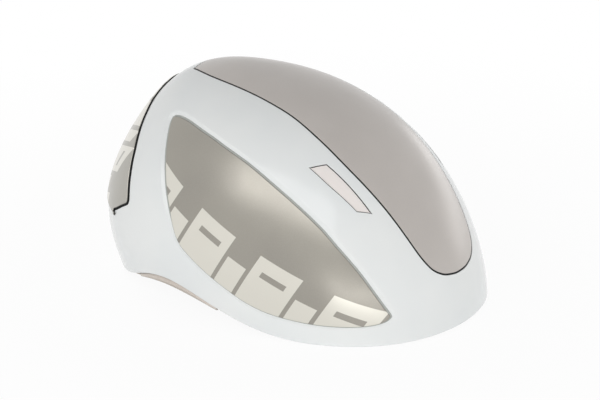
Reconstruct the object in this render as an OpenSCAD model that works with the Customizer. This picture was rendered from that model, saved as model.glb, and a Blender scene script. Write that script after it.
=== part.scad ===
// Road bike helmet with a closed aero shell, drawn standing on its rim.
// +X is the front, +Y the wearer's left and +Z up. Millimetres.

/* [Shell] */
// Length of the shell at its widest level
shell_l = 288; // [276:1:300]
// Width of the shell
shell_w = 209; // [200:1:218]
// Height from the rim to the crown
shell_h = 154; // [148:1:162]
// Wall of the shell
shell_wall = 1.8; // [1.4:0.1:2.2]
// Height of the arch over each ear
arch_h = 22.4; // [18:0.2:26]
// Rise of the rim over the brow
brow_h = 1.7; // [1:0.1:4]

/* [Covers] */
// Wall of the covers that fill the shell's openings
cover_wall = 0.9; // [0.7:0.1:1.2]
// Depth of the side covers below the shell's face
side_drop = 0.9; // [0.5:0.1:0.9]
// Depth of the rear cover below the shell's face
rear_drop = 0.6; // [0.3:0.1:0.9]
// Gap round the top, side and vent covers
cover_gap = 0.6; // [0.4:0.1:1.2]
// Gap round the rear cover, through which air leaves
rear_gap = 1.2; // [0.8:0.1:2]

/* [Foam and pads] */
// Foam thickness at the front and the rear
foam_end = 38; // [34:0.5:41]
// Foam thickness at the sides
foam_side = 22; // [19:0.5:25]
// Foam thickness over the crown
foam_top = 28; // [24:0.5:32]
// Height of the scoop under the foam's rear edge, which clears the dial
scoop_h = 30; // [26:0.5:34]
// How far the foam hangs below the shell over each ear
foam_hang = 3.5; // [2:0.5:5]
// Gap between two fixed pieces that lie against each other
seat_gap = 0.3; // [0.25:0.05:0.4]
// Thickness of the comfort pads
pad_t = 5; // [3.5:0.5:6]
// Width of the middle crown pad
crown_pad_w = 26; // [20:1:32]
// Diameter of the pads' hook dots
dot_d = 14; // [10:1:16]
// Thickness of the hook dots
dot_t = 0.8; // [0.6:0.1:1]

/* [Cradle] */
// Height of the temple pins, on which the cradle tilts
temple_z = 36; // [33:0.5:39]
// Direction of the temple pins, measured from the front
temple_a = 68; // [66:0.5:71]
// Diameter of the temple pins
pin_d = 5; // [4:0.1:6]
// Running clearance of every pin and shaft, on the radius
run_gap = 0.06; // [0.04:0.01:0.09]
// Gap between the cradle's arms and the foam
arm_gap = 12; // [11:0.5:13]
// Height of the arms' band
arm_h = 10; // [8:0.5:11]
// Thickness of the arms' band
arm_t = 1.4; // [1.2:0.1:1.8]
// Height of the dial's shaft
dial_z = 16; // [15.5:0.1:17]
// Length of the tooth bars' travel
rack_travel = 15; // [12:0.5:15]
// Tooth module of the pinion and the tooth bars
tooth_m = 1; // [0.95:0.01:1.05]
// Diameter of the dial
dial_d = 26; // [24:0.5:28]
// Thickness of the dial
dial_t = 8; // [7:0.5:10]
// Number of ridges on the dial's grip
ridge_n = 24; // [18:2:28]

/* [Straps] */
// Width of the webbing
strap_w = 14; // [12:0.5:15]
// Thickness of the webbing
strap_t = 1.2; // [1:0.1:1.4]
// Gap round webbing in a slot
slot_gap = 0.4; // [0.3:0.05:0.5]
// Wall of the plastic round the webbing
clip_wall = 1.4; // [1.2:0.1:1.8]
// Travel of the buckle's sliding half
buckle_travel = 12; // [9:0.5:13]

/* [Hidden] */

// Stretch of the drawn outlines when the shell is made longer, wider or higher than it was drawn
kx = shell_l / 288;
ky = shell_w / 209;
kz = shell_h / 154;

// Plain functions
function sq(x) = x * x;
function lerp(a, b, u) = a + (b - a) * u;
function ramp(x) = let (u = min(1, max(0, x))) u * u * (3 - 2 * u);
function unit(v) = v / norm(v);
function bump(d, middle, width) = exp(-sq((d - middle) / width));

// Blends a front, a side and a rear value round the azimuth a, smooth everywhere
function round_blend(a, front, side, rear) =
    let (c = (1 + cos(a)) / 2, s = 1 - c, middle = 2 * side - (front + rear) / 2)
    front * c * c + middle * 2 * c * s + rear * s * s;

// Height of the shell's widest level, and how full the walls are above it
function belt_z(a) = kz * round_blend(a, 19, 28, 21);
function fullness(a, s) =
    1 + round_blend(a, 0.08, -0.08, -0.43) * s * s + round_blend(a, 0.15, -0.06, 0.41) * pow(s, 4);
// The crown lies behind the middle of the belt, and the belt's middle a little behind the origin
crown_back = 34.5 * kx;
middle_x = -0.5 * kx;

// Rim of the shell: flat where it stands, raised over the ears and a little at the brow
arch_a = 107;
arch_spread = 23;
brow_spread = 38;
// Depth cut off the rim so that it stands flat
stand_cut = 0.6;
function side_of(a) = abs(a > 180 ? a - 360 : a);
function rim_z(a) = max(0, (brow_h + stand_cut) * bump(side_of(a), 0, brow_spread)
    + (arch_h + stand_cut) * bump(side_of(a), arch_a, arch_spread) - stand_cut);
// Rim of the foam: just inside the shell's, lower over the ears and scooped out at the rear
foam_lift = 2;
scoop_spread = 34;
function foam_rim_z(a) = rim_z(a) + foam_lift
    - (foam_hang + foam_lift) * bump(side_of(a), arch_a, arch_spread * 0.8)
    + (scoop_h - foam_lift) * exp(-pow((180 - side_of(a)) / scoop_spread, 4));

// Point of the surface m = [end, side, top] under the shell's face, at azimuth a and height z
function at_level(a, s, m) = let (f = sqrt(1 - s * s) * fullness(a, max(0, s)), c = cos(a))
    [middle_x - crown_back * s + (shell_l / 2 - m[0]) * c * f,
     (shell_w / 2 - m[1]) * sin(a) * (1 + 0.04 * c + 0.06 * c * c) * f,
     belt_z(a) + (shell_h - m[2] - belt_z(a)) * s];
function level_of(a, z, m) = (z - belt_z(a)) / (shell_h - m[2] - belt_z(a));
function on_surface(a, z, m) = at_level(a, level_of(a, z, m), m);
// The same surface by t, from 0 at the rim height z0 to 1 at the crown
function by_share(a, t, m, z0) =
    let (low = asin(level_of(a, z0, m))) at_level(a, sin(low + t * (90 - low)), m);

// Surfaces under the shell's face
function depth(d) = [d, d, d];
foam_out = shell_wall + seat_gap;
cavity = [foam_end + foam_out, foam_side + foam_out, foam_top + foam_out];
function above_cavity(d) = cavity + depth(d);

// Closed layer between two surfaces, from a rim up to the crown, or a whole dome down to its rim
module layer(m_out, m_in, foam_rim = false, around = 72, levels = 16) {
    ring = around * levels;
    half = ring + 1;
    function z0(j) = foam_rim ? foam_rim_z(j * 360 / around - 180) : rim_z(j * 360 / around - 180);
    function grid(m) = [for (k = [0:levels - 1]) for (j = [0:around - 1])
        by_share(j * 360 / around - 180, k / levels, m, z0(j))];
    points = concat(grid(m_out), [by_share(0, 1, m_out, 0)], grid(m_in), [by_share(0, 1, m_in, 0)]);
    function id(k, j, side) = side * half + k * around + (j % around);
    function quad(j, a, b, c, d) = j < around / 2 ? [[b, c, d], [b, d, a]] : [[a, b, c], [a, c, d]];
    faces = concat(
        [for (k = [0:levels - 2]) for (j = [0:around - 1])
            each quad(j, id(k, j, 0), id(k + 1, j, 0), id(k + 1, j + 1, 0), id(k, j + 1, 0))],
        [for (j = [0:around - 1]) [id(levels - 1, j, 0), ring, id(levels - 1, j + 1, 0)]],
        [for (k = [0:levels - 2]) for (j = [0:around - 1])
            each quad(j, id(k, j, 1), id(k, j + 1, 1), id(k + 1, j + 1, 1), id(k + 1, j, 1))],
        [for (j = [0:around - 1]) [id(levels - 1, j, 1), id(levels - 1, j + 1, 1), half + ring]],
        [for (j = [0:around - 1]) each
            quad(j, id(0, j, 1), id(0, j, 0), id(0, j + 1, 0), id(0, j + 1, 1))]);
    polyhedron(points, faces);
}

// Smooth line through chosen points
function smooth(p, steps = 5) = let (n = len(p) - 1) concat(
    [for (i = [0:n - 1]) for (k = [0:steps - 1])
        let (u = k / steps, a = p[max(0, i - 1)], b = p[i], c = p[i + 1], d = p[min(n, i + 2)])
        (2 * b + (c - a) * u + (2 * a - 5 * b + 4 * c - d) * u * u
            + (3 * b - a - 3 * c + d) * u * u * u) / 2],
    [p[n]]);

// Flat band on edge along a line, w high and t thick. A point may carry its own upward direction.
function place(p) = [p[0], p[1], p[2]];
function upward(p) = len(p) > 3 ? [p[3], p[4], p[5]] : [0, 0, 1];
module band(line, w, t) {
    n = len(line) - 1;
    function along(i) = unit(place(line[min(n, i + 1)]) - place(line[max(0, i - 1)]));
    function up(i) = unit(upward(line[i]) - (along(i) * upward(line[i])) * along(i));
    function corner(i, a, b) = place(line[i]) + up(i) * w / 2 * a + cross(along(i), up(i)) * t / 2 * b;
    points = [for (i = [0:n]) each [corner(i, -1, -1), corner(i, 1, -1), corner(i, 1, 1), corner(i, -1, 1)]];
    faces = concat([[0, 1, 2], [0, 2, 3]],
        [for (i = [0:n - 1]) for (j = [0:3]) let (a = 4 * i + j, b = 4 * i + (j + 1) % 4)
            each [[b, a, a + 4], [b, a + 4, b + 4]]],
        [[4 * n, 4 * n + 3, 4 * n + 2], [4 * n, 4 * n + 2, 4 * n + 1]]);
    polyhedron(points, faces);
}
// Drawn on the left, and mirrored for the right
module on_side(s) mirror([0, s > 0 ? 0 : 1, 0]) children();

// Outlines of the openings, each drawn as seen square on
top_drawn = [[-78, 12], [-64, 20], [-48, 26], [-24, 31.5], [0, 35.5], [24, 38.5], [48, 42],
    [72, 43.5], [96, 41], [118, 36], [129, 30], [135, 21], [138, 10], [138.8, 0]];
side_drawn = [[-69, 121], [-66, 125.5], [-53, 126.5], [-34, 124], [-16, 120.5], [14, 112], [45, 97.5],
    [69, 82], [84.5, 68], [97, 55], [107, 42], [119, 23.5], [120, 19.5], [117, 16.5], [109, 14.5],
    [96, 13.9], [77, 14.4], [59, 16], [46, 17.8], [35, 20.3], [24, 24], [12, 29.2], [-4, 36.6],
    [-20, 45], [-32, 53], [-42, 68], [-51, 83], [-58, 96], [-64, 108]];
rear_drawn = [[6, 131.8], [14, 127.6], [27, 120.3], [35, 115.8], [42, 110.6], [49.5, 104.6], [58.6, 96.4],
    [65.3, 88.2], [71.3, 79.7], [77.5, 69], [80, 62.5], [78, 58], [70.5, 49], [60, 45.5]];
vent_drawn = [[50.6, 59.1], [59.7, 50.5], [95.5, 48.8], [87.4, 56.1], [67.5, 58.9]];
function both_ways(half) = concat(half, [for (i = [len(half) - 1:-1:0]) [half[i][0], -half[i][1]]]);

// Prisms through the shell on those outlines, drawn in by g
reach = 240;
module top_prism(g = 0) translate([middle_x, 0, belt_z(0)]) linear_extrude(reach)
    offset(delta = -g) polygon([for (p = both_ways(top_drawn)) [p[0] * kx, p[1] * ky]]);
prism_from = 20;
module side_prism(s, g = 0) translate([middle_x, s > 0 ? reach : -prism_from, 0]) rotate([90, 0, 0])
    linear_extrude(reach - prism_from) offset(delta = -g)
        polygon([for (p = side_drawn) [p[0] * kx, p[1] * kz]]);
module rear_prism(g = 0) translate([-2 * prism_from, 0, 0]) rotate([90, 0, -90]) linear_extrude(reach)
    offset(delta = -g) polygon([for (p = both_ways([for (q = rear_drawn) [q[1], q[0]]]))
        [p[1] * ky, p[0] * kz]]);
module vent_prism(s, g = 0) translate([middle_x, 0, belt_z(0)]) linear_extrude(reach)
    offset(delta = -g) polygon([for (p = vent_drawn) [p[0] * kx, s * p[1] * ky]]);

// Shell and what fills its openings
module outer_shell() {
    color("#eceeee") difference() {
        layer(depth(0), depth(shell_wall));
        top_prism();
        for (s = [-1, 1]) {
            side_prism(s);
            vent_prism(s);
        }
        rear_prism();
    }
}
module cover_layer(drop) { layer(depth(drop), depth(drop + cover_wall)); }
module top_cover() { color("#aaa5a0") intersection() { cover_layer(0); top_prism(cover_gap); } }
module side_cover(s) {
    color("#b5b2a6") intersection() {
        cover_layer(side_drop);
        side_prism(s, cover_gap);
    }
}
module rear_cover() { color("#b5b2a6") intersection() { cover_layer(rear_drop); rear_prism(rear_gap); } }
module vent_insert(s) {
    color("#e8e2de") intersection() {
        cover_layer(side_drop);
        vent_prism(s, cover_gap);
    }
}

// Soft strip under the foam's edge, between the shell and the head
trim_w = 6;
trim_t = 1.2;
trim_drop = 2 * seat_gap;
// Steps round the foam and the strip, the same for both
foam_around = 72;
module rim_trim() {
    around = foam_around;
    function ring(j, d, z) = let (a = j * 360 / around - 180)
        on_surface(a, foam_rim_z(a) - trim_drop - z, depth(foam_out + seat_gap + d));
    points = [for (j = [0:around - 1]) each
        [ring(j, 0, 0), ring(j, trim_w, 0), ring(j, trim_w, trim_t), ring(j, 0, trim_t)]];
    function id(j, k) = 4 * (j % around) + k % 4;
    color("#cfc4ba") polyhedron(points, [for (j = [0:around - 1]) for (k = [0:3]) each
        [[id(j, k), id(j + 1, k + 1), id(j, k + 1)], [id(j, k), id(j + 1, k), id(j + 1, k + 1)]]]);
}

// Frame of reference standing on the cavity's wall: origin on the wall, +Z into the cavity, +X round it
function wall_in(a, z) = let (p = on_surface(a, z, cavity), h = 0.1,
    u = on_surface(a + h, z, cavity) - p, v = on_surface(a, z + h, cavity) - p) unit(cross(v, u));
module on_wall(a, z, s) {
    p = on_surface(a, z, cavity);
    w = wall_in(a, z);
    u = unit(cross([0, 0, 1], w));
    v = cross(w, u);
    on_side(s) multmatrix([[u[0], v[0], w[0], p[0]], [u[1], v[1], w[1], p[1]],
        [u[2], v[2], w[2], p[2]], [0, 0, 0, 1]]) children();
}

// Strap anchors: a plug in the foam, a plate on the wall and a bar that the webbing goes round
anchor_plug_d = 10;
anchor_plug_l = 10;
anchor_plate_t = 1.6;
anchor_lift = 1.4;
front_a = 46;
front_z = 17;
rear_a = 138;
rear_z = 24;
module anchor_socket() translate([0, 0, -anchor_plug_l - seat_gap])
    cylinder(d = anchor_plug_d + 2 * run_gap, h = 3 * anchor_plug_l, $fn = 32);
module strap_anchor(a, z, s) {
    plate_w = strap_t + 2 * slot_gap + 2 * clip_wall + 8;
    top = anchor_lift + anchor_plate_t;
    color("#3c3c3e") on_wall(a, z, s) {
        translate([0, 0, -anchor_plug_l])
            cylinder(d = anchor_plug_d, h = anchor_plug_l + anchor_lift + 0.4, $fn = 32);
        translate([-plate_w / 2, -(strap_w / 2 + slot_gap + 2), anchor_lift])
            cube([plate_w, strap_w + 2 * slot_gap + 4, anchor_plate_t]);
        for (e = [-1, 1]) translate([-2, e * (strap_w / 2 + slot_gap + 1) - 1, top - 0.1])
            cube([4, 2, strap_t + 2 * slot_gap + clip_wall + 0.1]);
        translate([-2, -(strap_w / 2 + slot_gap + 1), top + strap_t + 2 * slot_gap])
            cube([4, strap_w + 2 * slot_gap + 2, clip_wall]);
    }
}

// Temple pins on which the cradle tilts
temple = on_surface(temple_a, temple_z, cavity);
temple_plug_d = 12;
temple_plug_l = 12;
eye_out = 5.6;
eye_t = 2;
eye_d = pin_d + 7;
eye_y = temple[1] - eye_out - seat_gap - eye_t;
module at_temple(s) translate([temple[0], 0, temple[2]]) rotate([-90 * s, 0, 0]) children();
module temple_anchor(s) {
    color("#3c3c3e") at_temple(s) difference() {
        translate([0, 0, temple[1] - eye_out])
            cylinder(d = temple_plug_d, h = eye_out + temple_plug_l, $fn = 40);
        translate([0, 0, temple[1] - eye_out - 1]) cylinder(d = pin_d - 1 + 2 * run_gap, h = 11, $fn = 40);
    }
}
module temple_pin(s) {
    color("#8d9094") at_temple(s) {
        translate([0, 0, eye_y - seat_gap]) cylinder(d = pin_d, h = eye_t + 2 * seat_gap, $fn = 40);
        translate([0, 0, eye_y]) cylinder(d = pin_d - 1, h = eye_t + 9, $fn = 40);
        translate([0, 0, eye_y - seat_gap - 1.2]) cylinder(d = pin_d + 3, h = 1.2, $fn = 40);
    }
}

// Foam liner with the sockets of its anchors
module foam_liner() {
    color("#6f6a66") difference() {
        layer(depth(foam_out), cavity, foam_rim = true, around = foam_around, levels = 12);
        for (s = [-1, 1]) {
            on_wall(front_a, front_z, s) anchor_socket();
            on_wall(rear_a, rear_z, s) anchor_socket();
            at_temple(s) translate([0, 0, temple[1] - 8])
                cylinder(d = temple_plug_d + 2 * run_gap, h = 8 + temple_plug_l + seat_gap, $fn = 40);
        }
    }
}

// Pads, held by hook dots between them and the foam
dot_lift = 3 * seat_gap;
pad_lift = dot_lift + dot_t + 0.4;
module pad_layer() {
    layer(above_cavity(pad_lift), above_cavity(pad_lift + pad_t), foam_rim = true, around = 48, levels = 12);
}
// Lengths, widths and middles of the pads
brow_pad_l = 102 * ky;
brow_pad_w = 22 * kz;
brow_pad_z = 34 * kz;
crown_pad_l = 104 * kx;
crown_pad_x = -18 * kx;
side_pad_l = 84 * kx;
side_pad_w = 20;
side_pad_at = [-16 * kx, 41 * ky];
side_pad_turn = 4;
pads_from = 60;
module long_pad(length, width) offset(r = width / 2 - 0.1, $fn = 24)
    square([length - width, 0.2], center = true);
module brow_pad() {
    color("#26272a") intersection() {
        pad_layer();
        rotate([90, 0, 90]) linear_extrude(reach) translate([0, brow_pad_z]) long_pad(brow_pad_l, brow_pad_w);
    }
}
module crown_pad() {
    color("#26272a") intersection() {
        pad_layer();
        translate([crown_pad_x, 0, pads_from]) linear_extrude(reach) long_pad(crown_pad_l, crown_pad_w);
    }
}
module side_pad(s) {
    color("#26272a") intersection() {
        pad_layer();
        translate([side_pad_at[0], s * side_pad_at[1], pads_from]) linear_extrude(reach)
            rotate(-s * side_pad_turn) long_pad(side_pad_l, side_pad_w);
    }
}
// Places of the hook dots, as azimuth, height on the cavity's wall and side
brow_dots = [for (s = [-1, 1]) [22, brow_pad_z, s]];
side_dots = [for (s = [-1, 1]) for (a = [62, 118]) [a, 104 * kz, s]];
cavity_top = shell_h - cavity[2];
crown_dots = [[0, cavity_top - 4.9, 1], [180, cavity_top - 3.9, 1]];
module hook_dots() {
    color("#1c1c1e") for (p = concat(brow_dots, side_dots, crown_dots)) on_wall(p[0], p[1], p[2])
        translate([0, 0, dot_lift]) cylinder(d = dot_d, h = dot_t, $fn = 32);
}

// Plan curve of the cradle's arms, drawn in from the cavity's widest level
function arm_plan(a) = let (p = at_level(a, 0, cavity), q = [p[0], p[1]],
    gap = lerp(arm_gap, temple[1] - eye_y - eye_t / 2, ramp((110 - a) / 36)), r = q * (1 - gap / norm(q)),
    most_y = eye_y + eye_t / 2 + 8 * ramp((temple[0] - 8 - r[0]) / 25)) [r[0], min(r[1], most_y)];
box_w = 20;
rack_end = box_w + rack_travel + 3;
function arm_end_a(a = 160) = arm_plan(a)[1] >= rack_end || a < 130 ? a : arm_end_a(a - 0.5);
arm_rear_a = arm_end_a();
rack_x = arm_plan(arm_rear_a)[0];
function arm_z(a) = lerp(temple_z, dial_z, ramp((a - 118) / (arm_rear_a - 122)));
arm_line = concat([[rack_x, rack_end + 0.8, dial_z]],
    [for (k = [1:26]) let (a = lerp(arm_rear_a, temple_a + 3, k / 26), p = arm_plan(a))
        [p[0], p[1], arm_z(a)]]);
module cradle_arm(s) {
    color("#37383b") on_side(s) difference() {
        union() {
            band(arm_line, arm_h, arm_t);
            at_temple(1) translate([0, 0, eye_y]) cylinder(d = eye_d, h = eye_t, $fn = 48);
        }
        at_temple(1) translate([0, 0, eye_y - 3])
            cylinder(d = pin_d + 2 * run_gap, h = eye_t + 6, $fn = 48);
    }
}

// Pinion and tooth bars: eight narrow teeth, with play on both sides
pinion_n = 8;
pinion_r = tooth_m * pinion_n / 2;
tooth_pitch = PI * tooth_m;
tooth_w = 1.05 * tooth_m;
tooth_tip = 0.75 * tooth_m;
tooth_root = 1.1 * tooth_m;
bar_t = 3;
bar_h = 4;
bar_out = pinion_r + tooth_root + bar_h;
bar_tail = 4;
rack_foot = 2.5;
rack_teeth = floor((rack_travel + bar_tail) / tooth_pitch);
module at_box() translate([rack_x, 0, dial_z]) children();
module rack(s) {
    color("#c9c7c1") at_box() rotate([s > 0 ? 0 : 180, 0, 0]) {
        translate([-bar_t / 2, -bar_tail, pinion_r + tooth_root]) cube([bar_t, rack_end + bar_tail, bar_h]);
        translate([-bar_t / 2, rack_end - rack_foot, -arm_h / 2])
            cube([bar_t, rack_foot, arm_h / 2 + bar_out]);
        rotate([90, 0, 90]) translate([0, 0, -bar_t / 2]) linear_extrude(bar_t)
            for (k = [-1:rack_teeth]) translate([(k + 0.5) * tooth_pitch, pinion_r])
                polygon([[-tooth_w / 2 - 0.25, tooth_root + 0.1], [-tooth_w / 2 + 0.2, -tooth_tip],
                    [tooth_w / 2 - 0.2, -tooth_tip], [tooth_w / 2 + 0.25, tooth_root + 0.1]]);
    }
}
shaft_d = 6;
journal_d = 3;
cover_t = 5.5;
base_t = 4.5;
spring_t = 0.8;
dial_front = -cover_t - spring_t - 2 * seat_gap;
dial_web = 2.6;
screw_d = 2.4;
module along_x(from, to, d, fn = 40) translate([from, 0, 0]) rotate([0, 90, 0])
    cylinder(d = d, h = to - from, $fn = fn);
module pinion_gear() {
    shaft_end = dial_front - dial_t + dial_web + 0.2;
    color("#c9c7c1") at_box() difference() {
        union() {
            along_x(-bar_t / 2 + 0.1, bar_t / 2 - 0.1, 2 * (pinion_r - tooth_root));
            for (k = [0:pinion_n - 1]) rotate([k * 360 / pinion_n, 0, 0])
                translate([-bar_t / 2 + 0.1, -tooth_w / 2, 0])
                    cube([bar_t - 0.2, tooth_w, pinion_r + tooth_tip]);
            along_x(shaft_end, -bar_t / 2 - 0.1, shaft_d);
            along_x(-bar_t / 2 - 0.2, -bar_t / 2 + 0.2, journal_d);
            along_x(0, base_t - 1.2, journal_d);
        }
        along_x(shaft_end - 1, shaft_end + 5, screw_d + 2 * run_gap);
    }
}
// Room for the tooth bars and the pinion, and the box's two screws
box_h = bar_out + 1.8;
screw_y = box_w - 4;
module box_room() {
    play = 0.25;
    for (z = [-1, 1]) translate([0, 0, z * (bar_out + pinion_r - tooth_tip) / 2])
        cube([bar_t + 2 * play, 2 * box_w + 2, bar_out - pinion_r + tooth_tip + 2 * play], center = true);
    cube([bar_t + 2 * play, 2 * (pinion_r + tooth_tip) + 1, 2 * pinion_r], center = true);
}
module box_half(from, to) translate([from, 0, 0]) rotate([90, 0, 90]) linear_extrude(to - from)
    offset(r = 3, $fn = 32) square([2 * box_w - 6, 2 * box_h - 6], center = true);
module box_screw_places() for (s = [-1, 1]) translate([0, s * screw_y, 0]) children();
module gearbox_base() {
    color("#37383b") at_box() difference() {
        box_half(0, base_t);
        box_room();
        along_x(-1, base_t - 1, journal_d + 2 * run_gap);
        box_screw_places() along_x(-1, base_t - 1, screw_d + 2 * run_gap);
    }
}
module gearbox_cover() {
    color("#37383b") at_box() difference() {
        box_half(-cover_t, 0);
        box_room();
        along_x(-cover_t - 1, 0, shaft_d + 2 * run_gap);
        box_screw_places() {
            along_x(-cover_t - 1, 1, screw_d + 2 * run_gap);
            along_x(-cover_t - 1, -cover_t + 1.5, screw_d + 2.6);
        }
    }
}
module gearbox_screws() {
    color("#8d9094") at_box() box_screw_places() {
        along_x(-cover_t + 1.3, base_t - 1.3, screw_d);
        difference() {
            along_x(-cover_t + 0.2, -cover_t + 1.4, screw_d + 2);
            translate([-cover_t, 0, 0]) cube([1.6, 0.6, 3], center = true);
        }
    }
}
module click_spring() {
    color("#8d9094") at_box() translate([-cover_t - seat_gap - spring_t, 0, 0]) rotate([90, 0, 90])
        linear_extrude(spring_t) difference() {
            circle(d = shaft_d + 9, $fn = 40);
            circle(d = shaft_d + 1, $fn = 40);
            translate([shaft_d, 0]) square([8, 2], center = true);
        }
}
grip_wall = 2;
module dial_knob() {
    back = dial_front - dial_t;
    color("#2c2d30") at_box() difference() {
        along_x(back, dial_front, dial_d - 2 * grip_wall, 64);
        along_x(back + dial_web, dial_front + 1, shaft_d + 2 * run_gap);
        along_x(back - 1, back + dial_web + 1, screw_d + 2 * run_gap);
        along_x(back - 1, back + 1.6, screw_d + 3);
    }
}
module dial_grip() {
    color("#1d1d1f") at_box() translate([dial_front - dial_t + 0.5, 0, 0]) rotate([90, 0, 90])
        linear_extrude(dial_t - 1) difference() {
            union() {
                circle(d = dial_d - 0.8, $fn = 64);
                for (k = [0:ridge_n - 1]) rotate(k * 360 / ridge_n) translate([dial_d / 2 - 0.6, 0])
                    circle(d = 1.4, $fn = 16);
            }
            circle(d = dial_d - 2 * grip_wall + 2 * run_gap, $fn = 64);
        }
}
module dial_screw() {
    back = dial_front - dial_t;
    color("#8d9094") at_box() {
        along_x(back + 1.3, back + dial_web + 4, screw_d);
        difference() {
            along_x(back + 0.2, back + 1.4, screw_d + 2.4);
            translate([back, 0, 0]) cube([1.6, 0.6, 3.4], center = true);
        }
    }
}
// Plate between the gearbox and the head, with a padded lobe on each side
lobe_y = 25;
lobe_up = 13;
lobe_r = 9;
yoke_t = 2;
module cradle_yoke() {
    color("#37383b") at_box() translate([base_t + seat_gap, 0, 0]) rotate([90, 0, 90])
        linear_extrude(yoke_t) for (s = [-1, 1]) hull() {
            circle(r = lobe_r, $fn = 48);
            translate([s * lobe_y, lobe_up]) circle(r = lobe_r, $fn = 48);
        }
}
module cradle_pad(s) {
    color("#26272a") at_box() translate([base_t + 2 * seat_gap + yoke_t, s * lobe_y, lobe_up]) {
        rotate([0, 90, 0]) cylinder(r = lobe_r - 0.8, h = 2, $fn = 40);
        translate([2, 0, 0]) rotate([0, 90, 0])
            cylinder(r1 = lobe_r - 0.8, r2 = lobe_r - 3, h = 1.6, $fn = 40);
    }
}

// Straps, on edge inside the cavity. The dividers and the buckle stand just clear of the ground.
div_l = 26;
slot_h = 2 * strap_t + 3 * slot_gap;
div_half_w = strap_w / 2 + slot_gap + clip_wall;
strap_z = div_half_w + 0.6;
div_x = -10 * kx;
div_y = 42 * ky;
buckle_x = 50 * kx;
buckle_l = 17;
wall_step = anchor_lift + anchor_plate_t + slot_gap + strap_t / 2;
// Point beside an anchor, e along the wall and up from the plate, with the wall's own upward direction
function beside(a, z, e, up = 0) = let (w = wall_in(a, z), u = unit(cross([0, 0, 1], w)), v = cross(w, u),
    p = on_surface(a, z, cavity) + (wall_step + up) * w + e * u) concat(p, v);
function upright(p) = concat(p, [0, 0, 1]);
function inside(a, gap, z) = let (p = at_level(a, 0, cavity), q = [p[0], p[1]])
    concat(q * (1 - gap / norm(q)), [z, 0, 0, 1]);
layer_step = (strap_t + slot_gap) / 2;
// The two straps run side by side into the divider, s = 1 in front and s = -1 behind
function into_divider(s) = [for (p = [[3, 18], [0.5, 15.5], [0, 12.5], [0, 9], [0, 5], [0, 1]])
    upright([div_x + s * (layer_step + p[0]), div_y + p[1], strap_z])];
front_line = smooth(concat([for (e = [5, 0, -6]) beside(front_a, front_z, e)],
    [inside(54, 5.4, 15), inside(62, 7.5, 12.5), inside(74, 13, strap_z),
    upright([8 * kx, div_y + 22, strap_z]), upright([0, div_y + 21, strap_z])], into_divider(1)));
rear_line = smooth(concat([for (e = [-5, 0, 3]) beside(rear_a, rear_z, e)],
    [beside(rear_a, rear_z, 7, 0.7), inside(127, 6.5, 16), inside(119, 7.5, strap_z + 1),
    inside(109, 12, strap_z),
    upright([-18 * kx, div_y + 20, strap_z])], into_divider(-1)));
chin_drawn = [[div_x, div_y - 1], [div_x, div_y - 7], [div_x, div_y - div_l / 2 - 1], [div_x + 3, 20],
    [div_x + 12, 14], [12 * kx, 13], [23 * kx, 19], [31 * kx, 32], [38 * kx, 42], [45 * kx, 45],
    [buckle_x, 40], [buckle_x, 34], [buckle_x, 24], [buckle_x, buckle_l - 4]];
chin_line = smooth([for (p = chin_drawn) upright([p[0], p[1], strap_z])]);
module strap(line, s) { color("#2b2b2d") on_side(s) band(line, strap_w, strap_t); }

// Strap divider: a flat frame with a cam lever on a pin. Drawn with +X along the webbing
// and +Z on the lever's side.
div_top = slot_h / 2 + clip_wall;
lever_x = -8;
lever_pin_z = div_top + 1.4;
lever_pin_d = 2;
hub_r = 1.9;
lever_half_w = strap_w / 2 - 0.8;
module at_divider(s) on_side(s) translate([div_x, div_y, strap_z])
    multmatrix([[0, 0, -1, 0], [-1, 0, 0, 0], [0, 1, 0, 0], [0, 0, 0, 1]]) children();
module across(x, z, d, half, fn = 32) translate([x, half, z]) rotate([90, 0, 0])
    cylinder(d = d, h = 2 * half, $fn = fn);
lever_l = 19.5;
nose_l = 3.5;
module divider(s) {
    ear_w = div_half_w - lever_half_w - 2 * seat_gap;
    color("#303134") at_divider(s) difference() {
        union() {
            translate([-div_l / 2, -div_half_w, -div_top]) cube([div_l, 2 * div_half_w, 2 * div_top]);
            for (e = [-1, 1])
                translate([lever_x - 2, e * (div_half_w - ear_w / 2) - ear_w / 2, div_top - 0.5])
                    cube([4, ear_w, 4]);
        }
        cube([div_l + 2, strap_w + 2 * slot_gap, slot_h], center = true);
        translate([lever_x - 2.5, -lever_half_w - seat_gap, 0])
            cube([lever_l, 2 * (lever_half_w + seat_gap), div_top + 1]);
        across(lever_x, lever_pin_z, lever_pin_d + 2 * run_gap, div_half_w + 1);
    }
}
module divider_pin(s) {
    color("#8d9094") at_divider(s) across(lever_x, lever_pin_z, lever_pin_d, div_half_w - 0.2);
}
module divider_lever(s) {
    color("#1d1d1f") at_divider(s) difference() {
        union() {
            across(lever_x, lever_pin_z, 2 * hub_r, lever_half_w);
            translate([lever_x, -lever_half_w, lever_pin_z - 0.9]) cube([lever_l, 2 * lever_half_w, 1.8]);
            translate([lever_x + 1.5, -lever_half_w, slot_h / 2 + 0.3])
                cube([nose_l, 2 * lever_half_w, lever_pin_z - slot_h / 2 - 0.5]);
        }
        across(lever_x, lever_pin_z, lever_pin_d + 2 * run_gap, div_half_w + 1);
    }
}

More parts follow.
